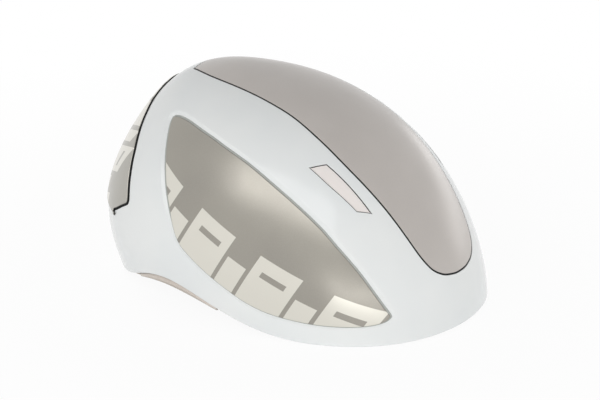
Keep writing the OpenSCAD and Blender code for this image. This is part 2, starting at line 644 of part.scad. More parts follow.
// Magnetic buckle: the slider's T-shaped tongue drops into the base's slot, and lifts out along it
buckle_half_h = strap_w / 2 + slot_gap + clip_wall - 0.2;
buckle_half_t = 3.5;
tongue_gap = 0.3;
magnet_d = 4.4;
magnet_t = 1.8;
module at_buckle() translate([buckle_x, 0, strap_z]) children();
module t_bar(neck, head, low, top, g) {
    translate([-neck - g, -0.6, low]) cube([2 * (neck + g), 4.8, top - low]);
    translate([-head - g, 3.8 - g, low]) cube([2 * (head + g), 2.4 + 2 * g, top - low]);
}
module buckle_block(s) {
    difference() {
        translate([-buckle_half_t, s > 0 ? tongue_gap / 2 : -buckle_l, -buckle_half_h])
            cube([2 * buckle_half_t, buckle_l - tongue_gap / 2, 2 * buckle_half_h]);
        translate([0, s * (buckle_l - 2.4), 0])
            cube([strap_t + slot_gap, 5.2, strap_w + 2 * slot_gap], center = true);
        translate([-buckle_half_t - 1, s * 9.3, 0]) rotate([0, 90, 0])
            cylinder(d = magnet_d + 2 * run_gap, h = magnet_t + 1.2, $fn = 32);
    }
}
module buckle_base() {
    color("#2c2d30") at_buckle() difference() {
        buckle_block(1);
        t_bar(0.9, 2, -buckle_half_h + 2.2, buckle_half_h + 1, tongue_gap);
    }
}
module buckle_slider() {
    color("#2c2d30") at_buckle() {
        buckle_block(-1);
        t_bar(0.9, 2, -buckle_half_h + 2.5, buckle_half_h - 2.5, 0);
    }
}
module magnet(s) {
    color("#b9bcc0") at_buckle() translate([-buckle_half_t + 0.1, s * 9.3, 0]) rotate([0, 90, 0])
        cylinder(d = magnet_d, h = magnet_t, $fn = 32);
}
keeper_y = 30;
keeper_l = 6;
module strap_keeper() {
    color("#1d1d1f") translate([buckle_x, keeper_y, strap_z]) difference() {
        cube([strap_t + 2 * slot_gap + 2, keeper_l, strap_w + 2 * slot_gap + 2], center = true);
        cube([strap_t + 2 * slot_gap, keeper_l + 2, strap_w + 2 * slot_gap], center = true);
    }
}

outer_shell();
top_cover();
side_cover(1);  // side_cover_left
side_cover(-1);  // side_cover_right
rear_cover();
vent_insert(1);  // vent_insert_left
vent_insert(-1);  // vent_insert_right
rim_trim();
foam_liner();
brow_pad();
crown_pad();
side_pad(1);  // side_pad_left
side_pad(-1);  // side_pad_right
hook_dots();
temple_anchor(1);  // temple_anchor_left
temple_anchor(-1);  // temple_anchor_right
temple_pin(1);  // temple_pin_left
temple_pin(-1);  // temple_pin_right
strap_anchor(front_a, front_z, 1);  // front_anchor_left
strap_anchor(front_a, front_z, -1);  // front_anchor_right
strap_anchor(rear_a, rear_z, 1);  // rear_anchor_left
strap_anchor(rear_a, rear_z, -1);  // rear_anchor_right
cradle_arm(1);  // cradle_arm_left
cradle_arm(-1);  // cradle_arm_right
rack(1);  // rack_left
rack(-1);  // rack_right
gearbox_base();
gearbox_cover();
gearbox_screws();
pinion_gear();
click_spring();
dial_knob();
dial_grip();
dial_screw();
cradle_yoke();
cradle_pad(1);  // cradle_pad_left
cradle_pad(-1);  // cradle_pad_right
strap(front_line, 1);  // front_strap_left
strap(front_line, -1);  // front_strap_right
strap(rear_line, 1);  // rear_strap_left
strap(rear_line, -1);  // rear_strap_right
divider(1);  // divider_left
divider(-1);  // divider_right
divider_lever(1);  // divider_lever_left
divider_lever(-1);  // divider_lever_right
divider_pin(1);  // divider_pin_left
divider_pin(-1);  // divider_pin_right
strap(chin_line, 1);  // chin_strap_left
strap(chin_line, -1);  // chin_strap_right
buckle_base();
buckle_slider();
magnet(1);  // buckle_magnet
magnet(-1);  // slider_magnet
strap_keeper();
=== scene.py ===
"""Dresses the road bike helmet. Shapes are worked out in millimetres, and meshes are made in metres."""
import math

import bpy
import numpy as np
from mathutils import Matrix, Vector
from mathutils.geometry import delaunay_2d_cdt


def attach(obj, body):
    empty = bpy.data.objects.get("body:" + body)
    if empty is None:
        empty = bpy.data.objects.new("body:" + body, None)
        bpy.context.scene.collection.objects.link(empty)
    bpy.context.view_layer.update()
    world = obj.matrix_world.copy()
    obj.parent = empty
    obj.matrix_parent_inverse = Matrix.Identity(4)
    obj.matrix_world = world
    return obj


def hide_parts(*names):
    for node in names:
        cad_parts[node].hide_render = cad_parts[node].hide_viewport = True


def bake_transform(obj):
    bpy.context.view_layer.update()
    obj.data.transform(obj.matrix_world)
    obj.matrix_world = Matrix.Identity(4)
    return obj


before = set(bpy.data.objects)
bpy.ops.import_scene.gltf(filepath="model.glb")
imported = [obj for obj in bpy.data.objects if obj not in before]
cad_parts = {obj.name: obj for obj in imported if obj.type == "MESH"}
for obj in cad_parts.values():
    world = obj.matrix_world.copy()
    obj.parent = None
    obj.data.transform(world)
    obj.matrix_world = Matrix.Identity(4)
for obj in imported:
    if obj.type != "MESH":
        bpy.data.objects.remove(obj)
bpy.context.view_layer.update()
MM = 0.001
SIDES = ((1, "left"), (-1, "right"))

# The driving dimensions of the part's source
SHELL_L = 288
SHELL_W = 209
SHELL_H = 154
SHELL_WALL = 1.8
ARCH_H = 22.4
BROW_H = 1.7
FOAM_END = 38
FOAM_SIDE = 22
FOAM_TOP = 28
SCOOP_H = 30
FOAM_HANG = 3.5
SEAT_GAP = 0.3
PAD_T = 5
DOT_T = 0.8
STRAP_W = 14
STRAP_T = 1.2
SLOT_GAP = 0.4
CLIP_WALL = 1.4
ARM_H = 10
ARM_T = 1.4
DIAL_Z = 16
TEMPLE_Z = 36
TEMPLE_A = 68
CROWN_BACK = 34.5
MIDDLE_X = -0.5
STAND_CUT = 0.6
FOAM_OUT = SHELL_WALL + SEAT_GAP
CAVITY = np.array([FOAM_END, FOAM_SIDE, FOAM_TOP]) + FOAM_OUT
SHELL_FACE = np.zeros(3)

# Spacing of the points inside the skins' meshes, in millimetres
GRAIN = 3.2


def hex_colour(text):
    """Linear colour of an sRGB hex value."""
    parts = [int(text[i:i + 2], 16) / 255 for i in (1, 3, 5)]
    return tuple(c / 12.92 if c <= 0.04045 else ((c + 0.055) / 1.055) ** 2.4 for c in parts) + (1.0,)


def toward(azimuth, elevation):
    """Direction from the helmet to a camera or lamp. Azimuth 0 is the wearer's right, 90 the front."""
    a, e = math.radians(azimuth), math.radians(elevation)
    return np.array([math.sin(a) * math.cos(e), -math.cos(a) * math.cos(e), math.sin(e)])


def look(thing, place, aim):
    """Links a camera or lamp, and turns it at its place towards aim."""
    thing.location = Vector(place * MM)
    thing.rotation_euler = Vector((aim - place) * MM).to_track_quat("-Z", "Y").to_euler()
    bpy.context.scene.collection.objects.link(thing)


# Camera

AZIMUTH = 33.0
ELEVATION = 22.5
DISTANCE = 1680
TARGET = np.array([0.0, 0.0, 80.0])
AIM_RIGHT = 4.1
AIM_DOWN = 21.6
LENS = 141.2


def make_camera():
    back = toward(AZIMUTH, ELEVATION)
    right = toward(AZIMUTH + 90, 0)
    up = np.cross(back, right)
    data = bpy.data.cameras.new("camera")
    data.sensor_fit = "HORIZONTAL"
    data.sensor_width = 36
    data.lens = LENS
    data.clip_start = 0.05
    data.clip_end = 30
    camera = bpy.data.objects.new("camera", data)
    look(camera, TARGET + back * DISTANCE, TARGET + right * AIM_RIGHT - up * AIM_DOWN)
    bpy.context.scene.camera = camera


# Nodes and materials

MIX_COLOUR = {"out": 2, "data_type": "RGBA"}


def add(tree, kind, inputs=None, out=0, stops=None, **settings):
    """Adds a shader node with its settings, sets or links its inputs, and gives back one of its outputs.
    A colour is written as an sRGB hex value."""
    made = tree.nodes.new("ShaderNode" + kind)
    for key, value in settings.items():
        setattr(made, key, value)
    for key, value in (inputs or {}).items():
        if isinstance(value, bpy.types.NodeSocket):
            tree.links.new(value, made.inputs[key])
        else:
            made.inputs[key].default_value = hex_colour(value) if isinstance(value, str) else value
    if stops:
        while len(made.color_ramp.elements) < len(stops):
            made.color_ramp.elements.new(0.5)
        for element, (position, shade) in zip(made.color_ramp.elements, stops):
            element.position = position
            element.color = hex_colour(shade) if isinstance(shade, str) else (shade, shade, shade, 1)
    return made.outputs[out]


def start_material(name):
    made = bpy.data.materials.new(name)
    made.use_nodes = True
    made.node_tree.nodes.clear()
    return made, made.node_tree, add(made.node_tree, "TexCoord", out="Object")


def finish_material(made, shader):
    output = made.node_tree.nodes.new("ShaderNodeOutputMaterial")
    made.node_tree.links.new(shader, output.inputs["Surface"])
    return made


def surface(made, colour, roughness, relief, inputs):
    """Ends a material in a principled surface. Its relief is (height, depth in millimetres, strength)."""
    height, depth, strength = relief
    bump = add(made.node_tree, "Bump", {"Height": height, "Distance": depth * MM, "Strength": strength})
    basis = {"Base Color": colour, "Roughness": roughness, "Normal": bump}
    return finish_material(made, add(made.node_tree, "BsdfPrincipled", {**basis, **inputs}))


def per(size):
    """Texture scale at which one repeat has a real size in millimetres."""
    return 1 / (size * MM)


def cloudy(tree, place, size, detail, *stops):
    """Cloudy noise with blotches of a real size, drawn through the stops of a ramp."""
    cloud = add(tree, "TexNoise", {"Vector": place, "Scale": per(size), "Detail": detail})
    return add(tree, "ValToRGB", {"Fac": cloud}, stops=stops)


def patch(tree, run, below, start, end, upper, lower):
    """1 where run lies between start and end, and below between upper and lower."""
    masks = [add(tree, "Math", {0: value, 1: (low + high) / 2, 2: (high - low) / 2}, operation="COMPARE")
             for value, low, high in ((run, start, end), (below, upper, lower))]
    return add(tree, "Math", {0: masks[0], 1: masks[1]}, operation="MULTIPLY")


def slanted_panels(tree, along, height, top, slant, widths):
    """Generic pattern of leaning blocks under a line: tall ones with a slot, and short ones between."""
    tall, short, gap = widths
    step, deep = tall + short + 2 * gap, 1.0
    lean = add(tree, "Math", {0: height, 1: -slant, 2: along}, operation="MULTIPLY_ADD")
    share = add(tree, "Math", {0: lean, 1: step}, operation="DIVIDE")
    run = add(tree, "Math", {0: share}, operation="FRACT")
    run = add(tree, "Math", {0: run, 1: step}, operation="MULTIPLY")
    below = add(tree, "Math", {0: top, 1: height}, operation="SUBTRACT")
    block = patch(tree, run, below, gap, gap + tall, 0, deep)
    slot = patch(tree, run, below, gap + 0.22 * tall, gap + 0.8 * tall, 0.26 * tall, 0.38 * tall)
    low_block = patch(tree, run, below, 2 * gap + tall, step, 0.4 * tall, deep)
    block = add(tree, "Math", {0: block, 1: slot}, operation="SUBTRACT")
    return add(tree, "Math", {0: block, 1: low_block}, operation="MAXIMUM")


def side_pattern(tree, place):
    """Leaning blocks along the lower edge of a side cover, sized in metres."""
    along, height = [add(tree, "SeparateXYZ", {"Vector": place}, out=axis) for axis in "XZ"]
    top = add(tree, "Math", {0: along, 1: -0.43, 2: 0.074}, operation="MULTIPLY_ADD")
    return slanted_panels(tree, along, height, top, 0.55, (0.038, 0.018, 0.0035))


def rear_pattern(tree, place):
    """Leaning blocks on both sides of the rear cover, sized in metres."""
    height, across = [add(tree, "SeparateXYZ", {"Vector": place}, out=axis) for axis in "ZY"]
    out = add(tree, "Math", {0: across}, operation="ABSOLUTE")
    return slanted_panels(tree, height, out, 0.06, 0.5, (0.022, 0.01, 0.004))


def polycarbonate_gloss_white():
    """Gloss white in-moulded polycarbonate: an even cool white with faint orange peel under lacquer."""
    made, tree, place = start_material("polycarbonate_gloss_white")
    colour = cloudy(tree, place, 60, 2, (0.35, "#E9ECEC"), (0.65, "#EEF0EF"))
    roughness = cloudy(tree, place, 25, 4, (0.3, 0.1), (0.7, 0.15))
    peel = add(tree, "TexNoise", {"Vector": place, "Scale": per(2.2), "Detail": 1})
    return surface(made, colour, roughness, (peel, 0.012, 1),
                   {"IOR": 1.45, "Coat Weight": 0.05, "Coat Roughness": 0.04})


def shade_lip_finish(name, dark, light):
    """Flat even lip finish with a faint drag along it. Its colour is painted shade: near black for the
    shadow in narrow gaps, grey for the shaded bevel beside a side cover.
    """
    made, tree, place = start_material(name)
    drag = add(tree, "TexNoise", {"Vector": place, "Scale": per(1.5)})
    colour = add(tree, "ValToRGB", {"Fac": drag}, stops=[(0.3, dark), (0.7, light)])
    return surface(made, colour, 0.8, (drag, 0.03, 1), {"IOR": 1.52})


def satin_paint(name, dark, light, flake, metallic, rough, pattern=None, pale=None):
    """Satin paint with fine metallic flake, drawn a little coarser than real, and a soft cloudy lay."""
    made, tree, place = start_material(name)
    base = cloudy(tree, place, 45, 2, (0.3, dark), (0.7, light))
    speck = add(tree, "TexNoise", {"Vector": place, "Scale": per(0.7), "Detail": 1})
    share = add(tree, "ValToRGB", {"Fac": speck}, stops=[(0.35, 0.0), (0.75, 0.12)])
    base = add(tree, "Mix", {0: share, 6: base, 7: flake}, **MIX_COLOUR)
    if pattern:
        base = add(tree, "Mix", {0: pattern(tree, place), 6: base, 7: pale}, **MIX_COLOUR)
    roughness = cloudy(tree, place, 9, 3, (0.3, rough - 0.02), (0.7, rough + 0.03))
    return surface(made, base, roughness, (speck, 0.002, 1),
                   {"Metallic": metallic, "IOR": 1.5, "Coat Weight": 0.35, "Coat Roughness": 0.22})


# The shell's surface, as the part's source draws it: values are for the front, the side and the rear

BELT = (19, 28, 21)
FULL_LOW = (0.08, -0.08, -0.43)
FULL_HIGH = (0.15, -0.06, 0.41)
BROW_SPREAD = 38
ARCH_A = 107
ARCH_SPREAD = 23
SCOOP_SPREAD = 34
RIM_LIFT = 2
# How much wider the front and both ends are in plan than a true oval
FRONT_WIDER = 0.04
ENDS_WIDER = 0.06


def round_blend(a, front, side, rear):
    c = (1 + np.cos(a)) / 2
    s = 1 - c
    middle = 2 * side - (front + rear) / 2
    return front * c * c + middle * 2 * c * s + rear * s * s


def belt_z(a):
    """Height of the shell's widest level."""
    return round_blend(a, *BELT)


def fullness(a, s):
    """How full the walls are above the belt."""
    return 1 + round_blend(a, *FULL_LOW) * s ** 2 + round_blend(a, *FULL_HIGH) * s ** 4


def bell(d, middle, width):
    return np.exp(-((d - middle) / width) ** 2)


def side_of(a):
    """Degrees from the front, the same on the left and the right."""
    d = np.degrees(a) % 360
    return np.where(d > 180, 360 - d, d)


def rim_z(a):
    d = side_of(a)
    brow = (BROW_H + STAND_CUT) * bell(d, 0, BROW_SPREAD)
    return np.maximum(0, brow + (ARCH_H + STAND_CUT) * bell(d, ARCH_A, ARCH_SPREAD) - STAND_CUT)


def foam_rim_z(a):
    d = side_of(a)
    return (rim_z(a) + RIM_LIFT - (FOAM_HANG + RIM_LIFT) * bell(d, ARCH_A, 0.8 * ARCH_SPREAD)
            + (SCOOP_H - RIM_LIFT) * np.exp(-((180 - d) / SCOOP_SPREAD) ** 4))


def at_level(a, s, m):
    """Point at azimuth a and level s, 0 at the belt to 1 at the crown, of the surface m under the face."""
    f = np.sqrt(np.maximum(0, 1 - s * s)) * fullness(a, np.maximum(0, s))
    c = np.cos(a)
    belt = belt_z(a)
    wider = 1 + FRONT_WIDER * c + ENDS_WIDER * c * c
    return np.stack([MIDDLE_X - CROWN_BACK * s + (SHELL_L / 2 - m[0]) * c * f,
                     (SHELL_W / 2 - m[1]) * np.sin(a) * wider * f,
                     belt + (SHELL_H - m[2] - belt) * s], -1)


def level_of(a, z, m):
    return (z - belt_z(a)) / (SHELL_H - m[2] - belt_z(a))


def on_surface(a, z, m):
    return at_level(a, level_of(a, z, m), m)


def unit(v):
    return v / np.maximum(1e-12, np.linalg.norm(v, axis=-1, keepdims=True))


# Flat coordinates of a surface: degrees down from the crown, along the azimuth's direction

SHEET_END = 104
MM_PER_DEGREE = 2.35
SHEET_RADIUS = 128
# Rounds and longest move in degrees, for drawn points and for a loop that is set in
FIND_EFFORT = (14, 2.5)
INSET_EFFORT = (3, 90)
# Points worked on at once, to spare memory
AT_ONCE = 500


def on_sheet(q, m=SHELL_FACE):
    down = np.radians(np.hypot(q[..., 0], q[..., 1]))
    return at_level(np.arctan2(q[..., 1], q[..., 0]), np.cos(down), m)


def slopes(q, m=SHELL_FACE):
    h = 0.01
    p = on_sheet(q, m)
    return p, (on_sheet(q + np.array([h, 0]), m) - p) / h, (on_sheet(q + np.array([0, h]), m) - p) / h


def outward(q, m=SHELL_FACE):
    _, u, v = slopes(q, m)
    return unit(np.cross(u, v))


def solve(q, goal, axes, m, rounds, reach):
    """Moves flat places until the surface's points meet goal along the axes, or as near as they can."""
    for _ in range(rounds):
        p, u, v = slopes(q, m)
        tangents = np.stack([u[:, axes], v[:, axes]], 1)
        pull = tangents @ (goal - p[:, axes])[..., None]
        move = np.linalg.solve(tangents @ np.swapaxes(tangents, 1, 2), pull)[..., 0]
        q = q + move * np.minimum(1, reach / (np.linalg.norm(move, axis=1) + 1e-9))[:, None]
    return q


def find(drawn, axes, region, m=SHELL_FACE):
    """Flat places of the points that have the drawn coordinates along two axes, where region holds."""
    side = np.arange(-SHEET_END, SHEET_END + 1, 2.0)
    scan = np.stack(np.meshgrid(side, side), -1).reshape(-1, 2)
    scan = scan[np.hypot(scan[:, 0], scan[:, 1]) < SHEET_END]
    places = on_sheet(scan, m)
    keep = region(places)
    scan, places = scan[keep], places[keep][:, axes]
    q = np.array([scan[np.argmin(((places - d) ** 2).sum(1))] for d in drawn])
    return solve(q, np.asarray(drawn), axes, m, *FIND_EFFORT)


# Lines

def angles(count, start=0.0):
    """Evenly spread angles of a full turn."""
    return np.linspace(start, start + 2 * math.pi, count, endpoint=False)


def run_along(places):
    """Distance of each place from the first, along their line."""
    return np.concatenate([[0], np.cumsum(np.linalg.norm(np.diff(places, axis=0), axis=1))])


def curve(points, steps=12):
    """Smooth line through the points, ends included."""
    p = np.asarray(points, float)
    n = len(p) - 1
    u = (np.arange(steps) / steps)[:, None]
    parts = []
    for i in range(n):
        a, b, c, d = p[max(0, i - 1)], p[i], p[i + 1], p[min(n, i + 2)]
        parts.append((2 * b + (c - a) * u + (2 * a - 5 * b + 4 * c - d) * u ** 2
                      + (3 * b - a - 3 * c + d) * u ** 3) / 2)
    return np.vstack(parts + [p[n:]])


def even(line, step, places):
    """The line again with even spacing, measured along places. The last point is left out."""
    run = run_along(places)
    count = max(1, round(run[-1] / step))
    at = np.arange(count) / count * run[-1]
    return np.stack([np.interp(at, run, line[:, k]) for k in range(line.shape[1])], 1)


def loop_on_sheet(drawn, corners, axes, region):
    """Closed loop in flat coordinates through drawn points, smooth except at the numbered corners."""
    p = np.asarray(drawn, float)
    n = len(p)
    if corners:
        ends = zip(corners, corners[1:] + [corners[0] + n])
        pieces = [curve(p[[i % n for i in range(first, last + 1)]]) for first, last in ends]
    else:
        pieces = [curve(np.vstack([p[-2:], p, p[:3]]))[24:-24]]
    laid = []
    for piece in pieces:
        q = find(piece, axes, region)
        laid.append(even(q, EDGE_STEP, on_sheet(q)))
    return np.vstack(laid)


def turned(loop, counter_clockwise):
    x, y = loop[:, 0], loop[:, 1]
    area = (x * np.roll(y, -1) - y * np.roll(x, -1)).sum()
    return loop if (area > 0) == counter_clockwise else loop[::-1]


def inset(q, width, m=SHELL_FACE):
    """The loop moved to its left along the surface, and the leftward directions before the move."""
    p = on_sheet(q, m)
    left = unit(np.cross(outward(q, m), np.roll(p, -1, 0) - np.roll(p, 1, 0)))
    goal = p + left * np.broadcast_to(width, len(q))[:, None]
    return solve(q, goal, [0, 1, 2], m, *INSET_EFFORT), left


def inside(points, loops):
    """Which flat points lie within an odd number of the loops."""
    start = np.vstack(loops)
    end = np.vstack([np.roll(loop, -1, 0) for loop in loops])
    odd = np.zeros(len(points), bool)
    for first in range(0, len(points), AT_ONCE):
        x, y = points[first:first + AT_ONCE, 0:1], points[first:first + AT_ONCE, 1:2]
        spans = (start[:, 1] > y) != (end[:, 1] > y)
        rise = np.where(np.abs(end[:, 1] - start[:, 1]) < 1e-12, 1e-12, end[:, 1] - start[:, 1])
        cross_x = start[:, 0] + (y - start[:, 1]) / rise * (end[:, 0] - start[:, 0])
        odd[first:first + AT_ONCE] = (spans & (x < cross_x)).sum(1) % 2 == 1
    return odd


def inner_points(loops, spacing, m):
    """Evenly strewn flat points within the loops and clear of them."""
    rings = []
    step = spacing / MM_PER_DEGREE
    for k, down in enumerate(np.arange(0.4 * step, SHEET_END, step)):
        radius = SHEET_RADIUS * math.sin(math.radians(min(90, down)))
        count = max(5, round(2 * math.pi * radius / spacing))
        turn = (np.arange(count) + 0.5 * (k % 2)) / count * 2 * math.pi
        rings.append(down * np.stack([np.cos(turn), np.sin(turn)], 1))
    q = np.vstack(rings)
    q = q[inside(q, loops)]
    p, border = on_sheet(q, m), on_sheet(np.vstack(loops), m)
    clear = np.ones(len(q), bool)
    for first in range(0, len(q), AT_ONCE):
        gap = ((p[first:first + AT_ONCE, None] - border[None]) ** 2).sum(-1).min(1)
        clear[first:first + AT_ONCE] = gap > (0.6 * spacing) ** 2
    return q[clear]


def fill(loops, spacing, m):
    """Triangles over the region between loops: flat points, triangles and each loop's point numbers."""
    inner = inner_points(loops, spacing, m)
    points = np.vstack(loops + [inner])
    edges, starts, first = [], [], 0
    for loop in loops:
        n = len(loop)
        edges += [(first + i, first + (i + 1) % n) for i in range(n)]
        starts.append(first)
        first += n
    found = delaunay_2d_cdt([Vector(p) for p in points], edges, [], 0, 1e-7)
    q = np.array([tuple(v) for v in found[0]])
    number = {old: new for new, olds in enumerate(found[3]) for old in olds}
    triangles = np.array(found[2])
    middles = q[triangles].mean(1)
    triangles = triangles[inside(middles, loops)]
    ids = [np.array([number[s + i] for i in range(len(loop))]) for s, loop in zip(starts, loops)]
    return q, triangles, ids


# Meshes

def mesh_piece(name, points, faces, material, normals=None, smooth=True):
    """Object from points in millimetres. The normals belong to the faces' corners, in their order."""
    data = bpy.data.meshes.new(name)
    data.from_pydata((np.asarray(points) * MM).tolist(), [], [list(map(int, f)) for f in faces])
    data.materials.append(material)
    data.polygons.foreach_set("use_smooth", [smooth] * len(data.polygons))
    if normals is not None:
        data.normals_split_custom_set(normals.tolist())
    made = bpy.data.objects.new(name, data)
    bpy.context.scene.collection.objects.link(made)
    return made


def grid_faces(rows, count, first=0):
    """Quads between closed rows of count points each."""
    faces = []
    for k in range(rows - 1):
        for j in range(count):
            a, b = first + k * count + j, first + k * count + (j + 1) % count
            faces.append((a, a + count, b + count, b))
    return faces


def tipped_faces(rows, count):
    """Quads between closed rows, and fans from the first and the last row to the two points after them."""
    tip, last = rows * count, (rows - 1) * count
    faces = grid_faces(rows, count)
    for j in range(count):
        k = (j + 1) % count
        faces += [(tip, j, k), (last + k, last + j, tip + 1)]
    return faces


def strip_faces(low, high):
    """Quads between two closed rows of point numbers."""
    return list(zip(low, np.roll(low, -1), np.roll(high, -1), high))


def ring_piece(name, rows, material, inward=False, smooth=True):
    """Closed piece whose rows each run once round it, one row for each corner of its section."""
    points = np.vstack(rows)
    faces = [tuple(v % len(points) for v in face) for face in grid_faces(len(rows) + 1, len(rows[0]))]
    faces = [face[::-1] for face in faces] if inward else faces
    return mesh_piece(name, points, faces, material, smooth=smooth)


def settle(piece, node=None, body="root"):
    """Fixes a piece to its body, and hides the part's node that it replaces."""
    if body:
        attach(piece, body)
    if node:
        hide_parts(node)


def edge_rows(flat, profile, spread, drop):
    """Rows from a skin's cut edge to its face: flat places, places, normals and leftward directions."""
    rows = []
    for k, (offset, sink) in enumerate(profile):
        q, left = inset(flat, offset * spread) if offset else (flat, inset(flat, 0.0)[1])
        before, after = profile[max(0, k - 1)], profile[min(len(profile) - 1, k + 1)]
        over, rise = after[0] - before[0], before[1] - after[1]
        if k == len(profile) - 1:
            over, rise = 1.0, 0.0
        up = outward(q)
        rows.append((q, on_sheet(q) - up * (drop + sink), unit(up * over - left * rise), left))
    return rows


def skin(name, loops, drop, wall, material):
    """Closed skin drop under the face and wall thick, between loops of (flat loop, profile, spread).
    Each loop has the skin on its left. Its profile lists (offset, sink) from cut edge to face."""
    rings = [edge_rows(*loop, drop) for loop in loops]
    q, triangles, ids = fill([rows[-1][0] for rows in rings], GRAIN, SHELL_FACE)
    up, count = outward(q), len(q)
    points = [on_sheet(q) - up * drop, on_sheet(q) - up * (drop + wall)]
    faces = list(triangles) + list(count + triangles[:, ::-1])
    normals = [up[triangles].reshape(-1, 3), -up[triangles[:, ::-1]].reshape(-1, 3)]
    total = 2 * count
    for rows, own in zip(rings, ids):
        flat, _, _, left = rows[0]
        edge_up = outward(flat)
        points += [row[1] for row in rows[:-1]] + [on_sheet(flat) - edge_up * (drop + wall)]
        numbers = [total + k * len(own) + np.arange(len(own)) for k in range(len(rows))]
        total += len(rows) * len(own)
        low, numbers[-1] = numbers[-1], own
        strips = [(count + own, low, -edge_up, -edge_up), (low, numbers[0], -left, -left)]
        for k in range(len(rows) - 1):
            strips.append((numbers[k], numbers[k + 1], rows[k][2], rows[k + 1][2]))
        for lower, upper, n_low, n_up in strips:
            faces += strip_faces(lower, upper)
            corners = [n_low, np.roll(n_low, -1, 0), np.roll(n_up, -1, 0), n_up]
            normals.append(np.stack(corners, 1).reshape(-1, 3))
    return mesh_piece(name, np.vstack(points), faces, material, np.vstack(normals))


# Outlines of the openings, as drawn in the part's source

TOP_HALF = [(-78, 12), (-64, 20), (-48, 26), (-24, 31.5), (0, 35.5), (24, 38.5), (48, 42), (72, 43.5),
            (96, 41), (118, 36), (129, 30), (135, 21), (138, 10), (138.8, 0)]
SIDE_DRAWN = [(-69, 121), (-66, 125.5), (-53, 126.5), (-34, 124), (-16, 120.5), (14, 112), (45, 97.5),
              (69, 82), (84.5, 68), (97, 55), (107, 42), (119, 23.5), (120, 19.5), (117, 16.5),
              (109, 14.5), (96, 13.9), (77, 14.4), (59, 16), (46, 17.8), (35, 20.3), (24, 24), (12, 29.2),
              (-4, 36.6), (-20, 45), (-32, 53), (-42, 68), (-51, 83), (-58, 96), (-64, 108)]
REAR_HALF = [(6, 131.8), (14, 127.6), (27, 120.3), (35, 115.8), (42, 110.6), (49.5, 104.6), (58.6, 96.4),
             (65.3, 88.2), (71.3, 79.7), (77.5, 69), (80, 62.5), (78, 58), (70.5, 49), (60, 45.5)]
VENT_DRAWN = [(50.6, 59.1), (59.7, 50.5), (95.5, 48.8), (87.4, 56.1), (67.5, 58.9)]
EDGE_STEP = 2.0


def shifted(points):
    return [(x + MIDDLE_X, other) for x, other in points]


def top_loop():
    half = shifted(TOP_HALF)
    drawn = half + [(x, -y) for x, y in half[-2::-1]]
    return loop_on_sheet(drawn, [0, len(drawn) - 1], [0, 1], lambda p: p[:, 2] > 22)


def rear_loop():
    drawn = REAR_HALF + [(-y, z) for y, z in REAR_HALF[::-1]]
    return loop_on_sheet(drawn, [], [1, 2], lambda p: p[:, 0] < -45)


def side_loop(s):
    return loop_on_sheet(shifted(SIDE_DRAWN), [], [0, 2], lambda p: s * p[:, 1] > 22)


def vent_loop(s):
    drawn = [(x, s * y) for x, y in shifted(VENT_DRAWN)]
    return loop_on_sheet(drawn, [0, 1, 2, 3], [0, 1], lambda p: p[:, 2] > 40)


def rim_loop():
    a = np.linspace(-math.pi, math.pi, 720, endpoint=False)
    down = np.degrees(np.arccos(level_of(a, rim_z(a), SHELL_FACE)))
    q = down[:, None] * np.stack([np.cos(a), np.sin(a)], 1)
    closed = np.vstack([q, q[:1]])
    return even(closed, EDGE_STEP, on_sheet(closed))


# Edge profiles as (offset from the cut edge, depth under the face)
RIM_ROLL = [(0, 0.9), (0.1, 0.35), (0.35, 0.1), (0.9, 0)]
CUT_EDGE = [(0, 0.3), (0.08, 0.09), (0.3, 0)]
SIDE_BEVEL = [(0, 1.5), (0.3, 1.2), (2.4, 0.2), (3.2, 0)]
COVER_EDGE = [(0, 0.4), (0.1, 0.12), (0.4, 0)]
TOP_GAP = 1.25
SIDE_GAP = 1.6
REAR_GAP = 1.5
VENT_GAP = 0.6
SIDE_DROP = 0.9
# The rear cover stands proud of the shell, over the slot of the air outlet; the slot looks dark from the
# black lip under the cover, which is painted shadow
REAR_DROP = -1.3
COVER_WALL = 0.9


def make_shell(material):
    loops = [(turned(rim_loop(), True), RIM_ROLL, 1.0),
             (turned(top_loop(), False), CUT_EDGE, 1.0),
             (turned(rear_loop(), False), CUT_EDGE, 1.0)]
    for s, _ in SIDES[::-1]:
        opening = turned(side_loop(s), False)
        loops.append((opening, SIDE_BEVEL, upper_share(opening)))
        loops.append((turned(vent_loop(s), False), CUT_EDGE, 1.0))
    settle(skin("shell", loops, 0, SHELL_WALL, material), "outer_shell")


# Heights at places along the helmet that part a side opening's upper edge from its lower one
SIDE_SPLIT = ([-70, -30, 60, 120], [60, 70, 50, 18])
LOWER_SHARE = 0.35


def upper_share(opening):
    """1 along the upper edge of a side opening, where bevel and gap are wide, less along the lower."""
    p = on_sheet(opening)
    share = np.where(p[:, 2] > np.interp(p[:, 0], *SIDE_SPLIT), 1.0, LOWER_SHARE)
    for _ in range(6):
        share = (np.roll(share, 1) + share + np.roll(share, -1)) / 3
    return share


def make_cover(name, node, loop, gap, drop, material):
    flat, _ = inset(loop, gap)
    settle(skin(name, [(flat, COVER_EDGE, 1.0)], drop, COVER_WALL, material), node)


def make_shade_lip(name, loop, section, material, spread=1.0):
    """Lip round an opening, whose colour is painted shade in the gap. Its section lists (distance in from
    the edge, depth under face).
    """
    rows = []
    for distance, depth in section:
        q = inset(loop, distance * spread)[0]
        rows.append(on_sheet(q) - outward(q) * depth)
    settle(ring_piece(name, rows, material, smooth=False))


# Sections of the lips that fill the gaps round the covers. Their colour is painted shade: black for the
# shadow in the gaps, grey for the shaded bevel over each side cover.
TOP_SHADOW_LIP = [(1.2, 1.7), (1.2, 0.35), (0.05, 0.35), (0.05, 1.7)]
VENT_SHADOW_LIP = [(0.55, 1.7), (0.55, 1.1), (0.05, 1.1), (0.05, 1.7)]
SIDE_SHADE_LIP = [(1.5, 1.75), (1.5, 1.15), (0.05, 1.4), (0.05, 1.75)]
REAR_SHADOW_LIP = [(2.6, 1.7), (2.6, -0.5), (1.4, -0.9), (1.0, -0.9), (1.0, 1.0), (0.05, 1.0), (0.05, 1.7)]


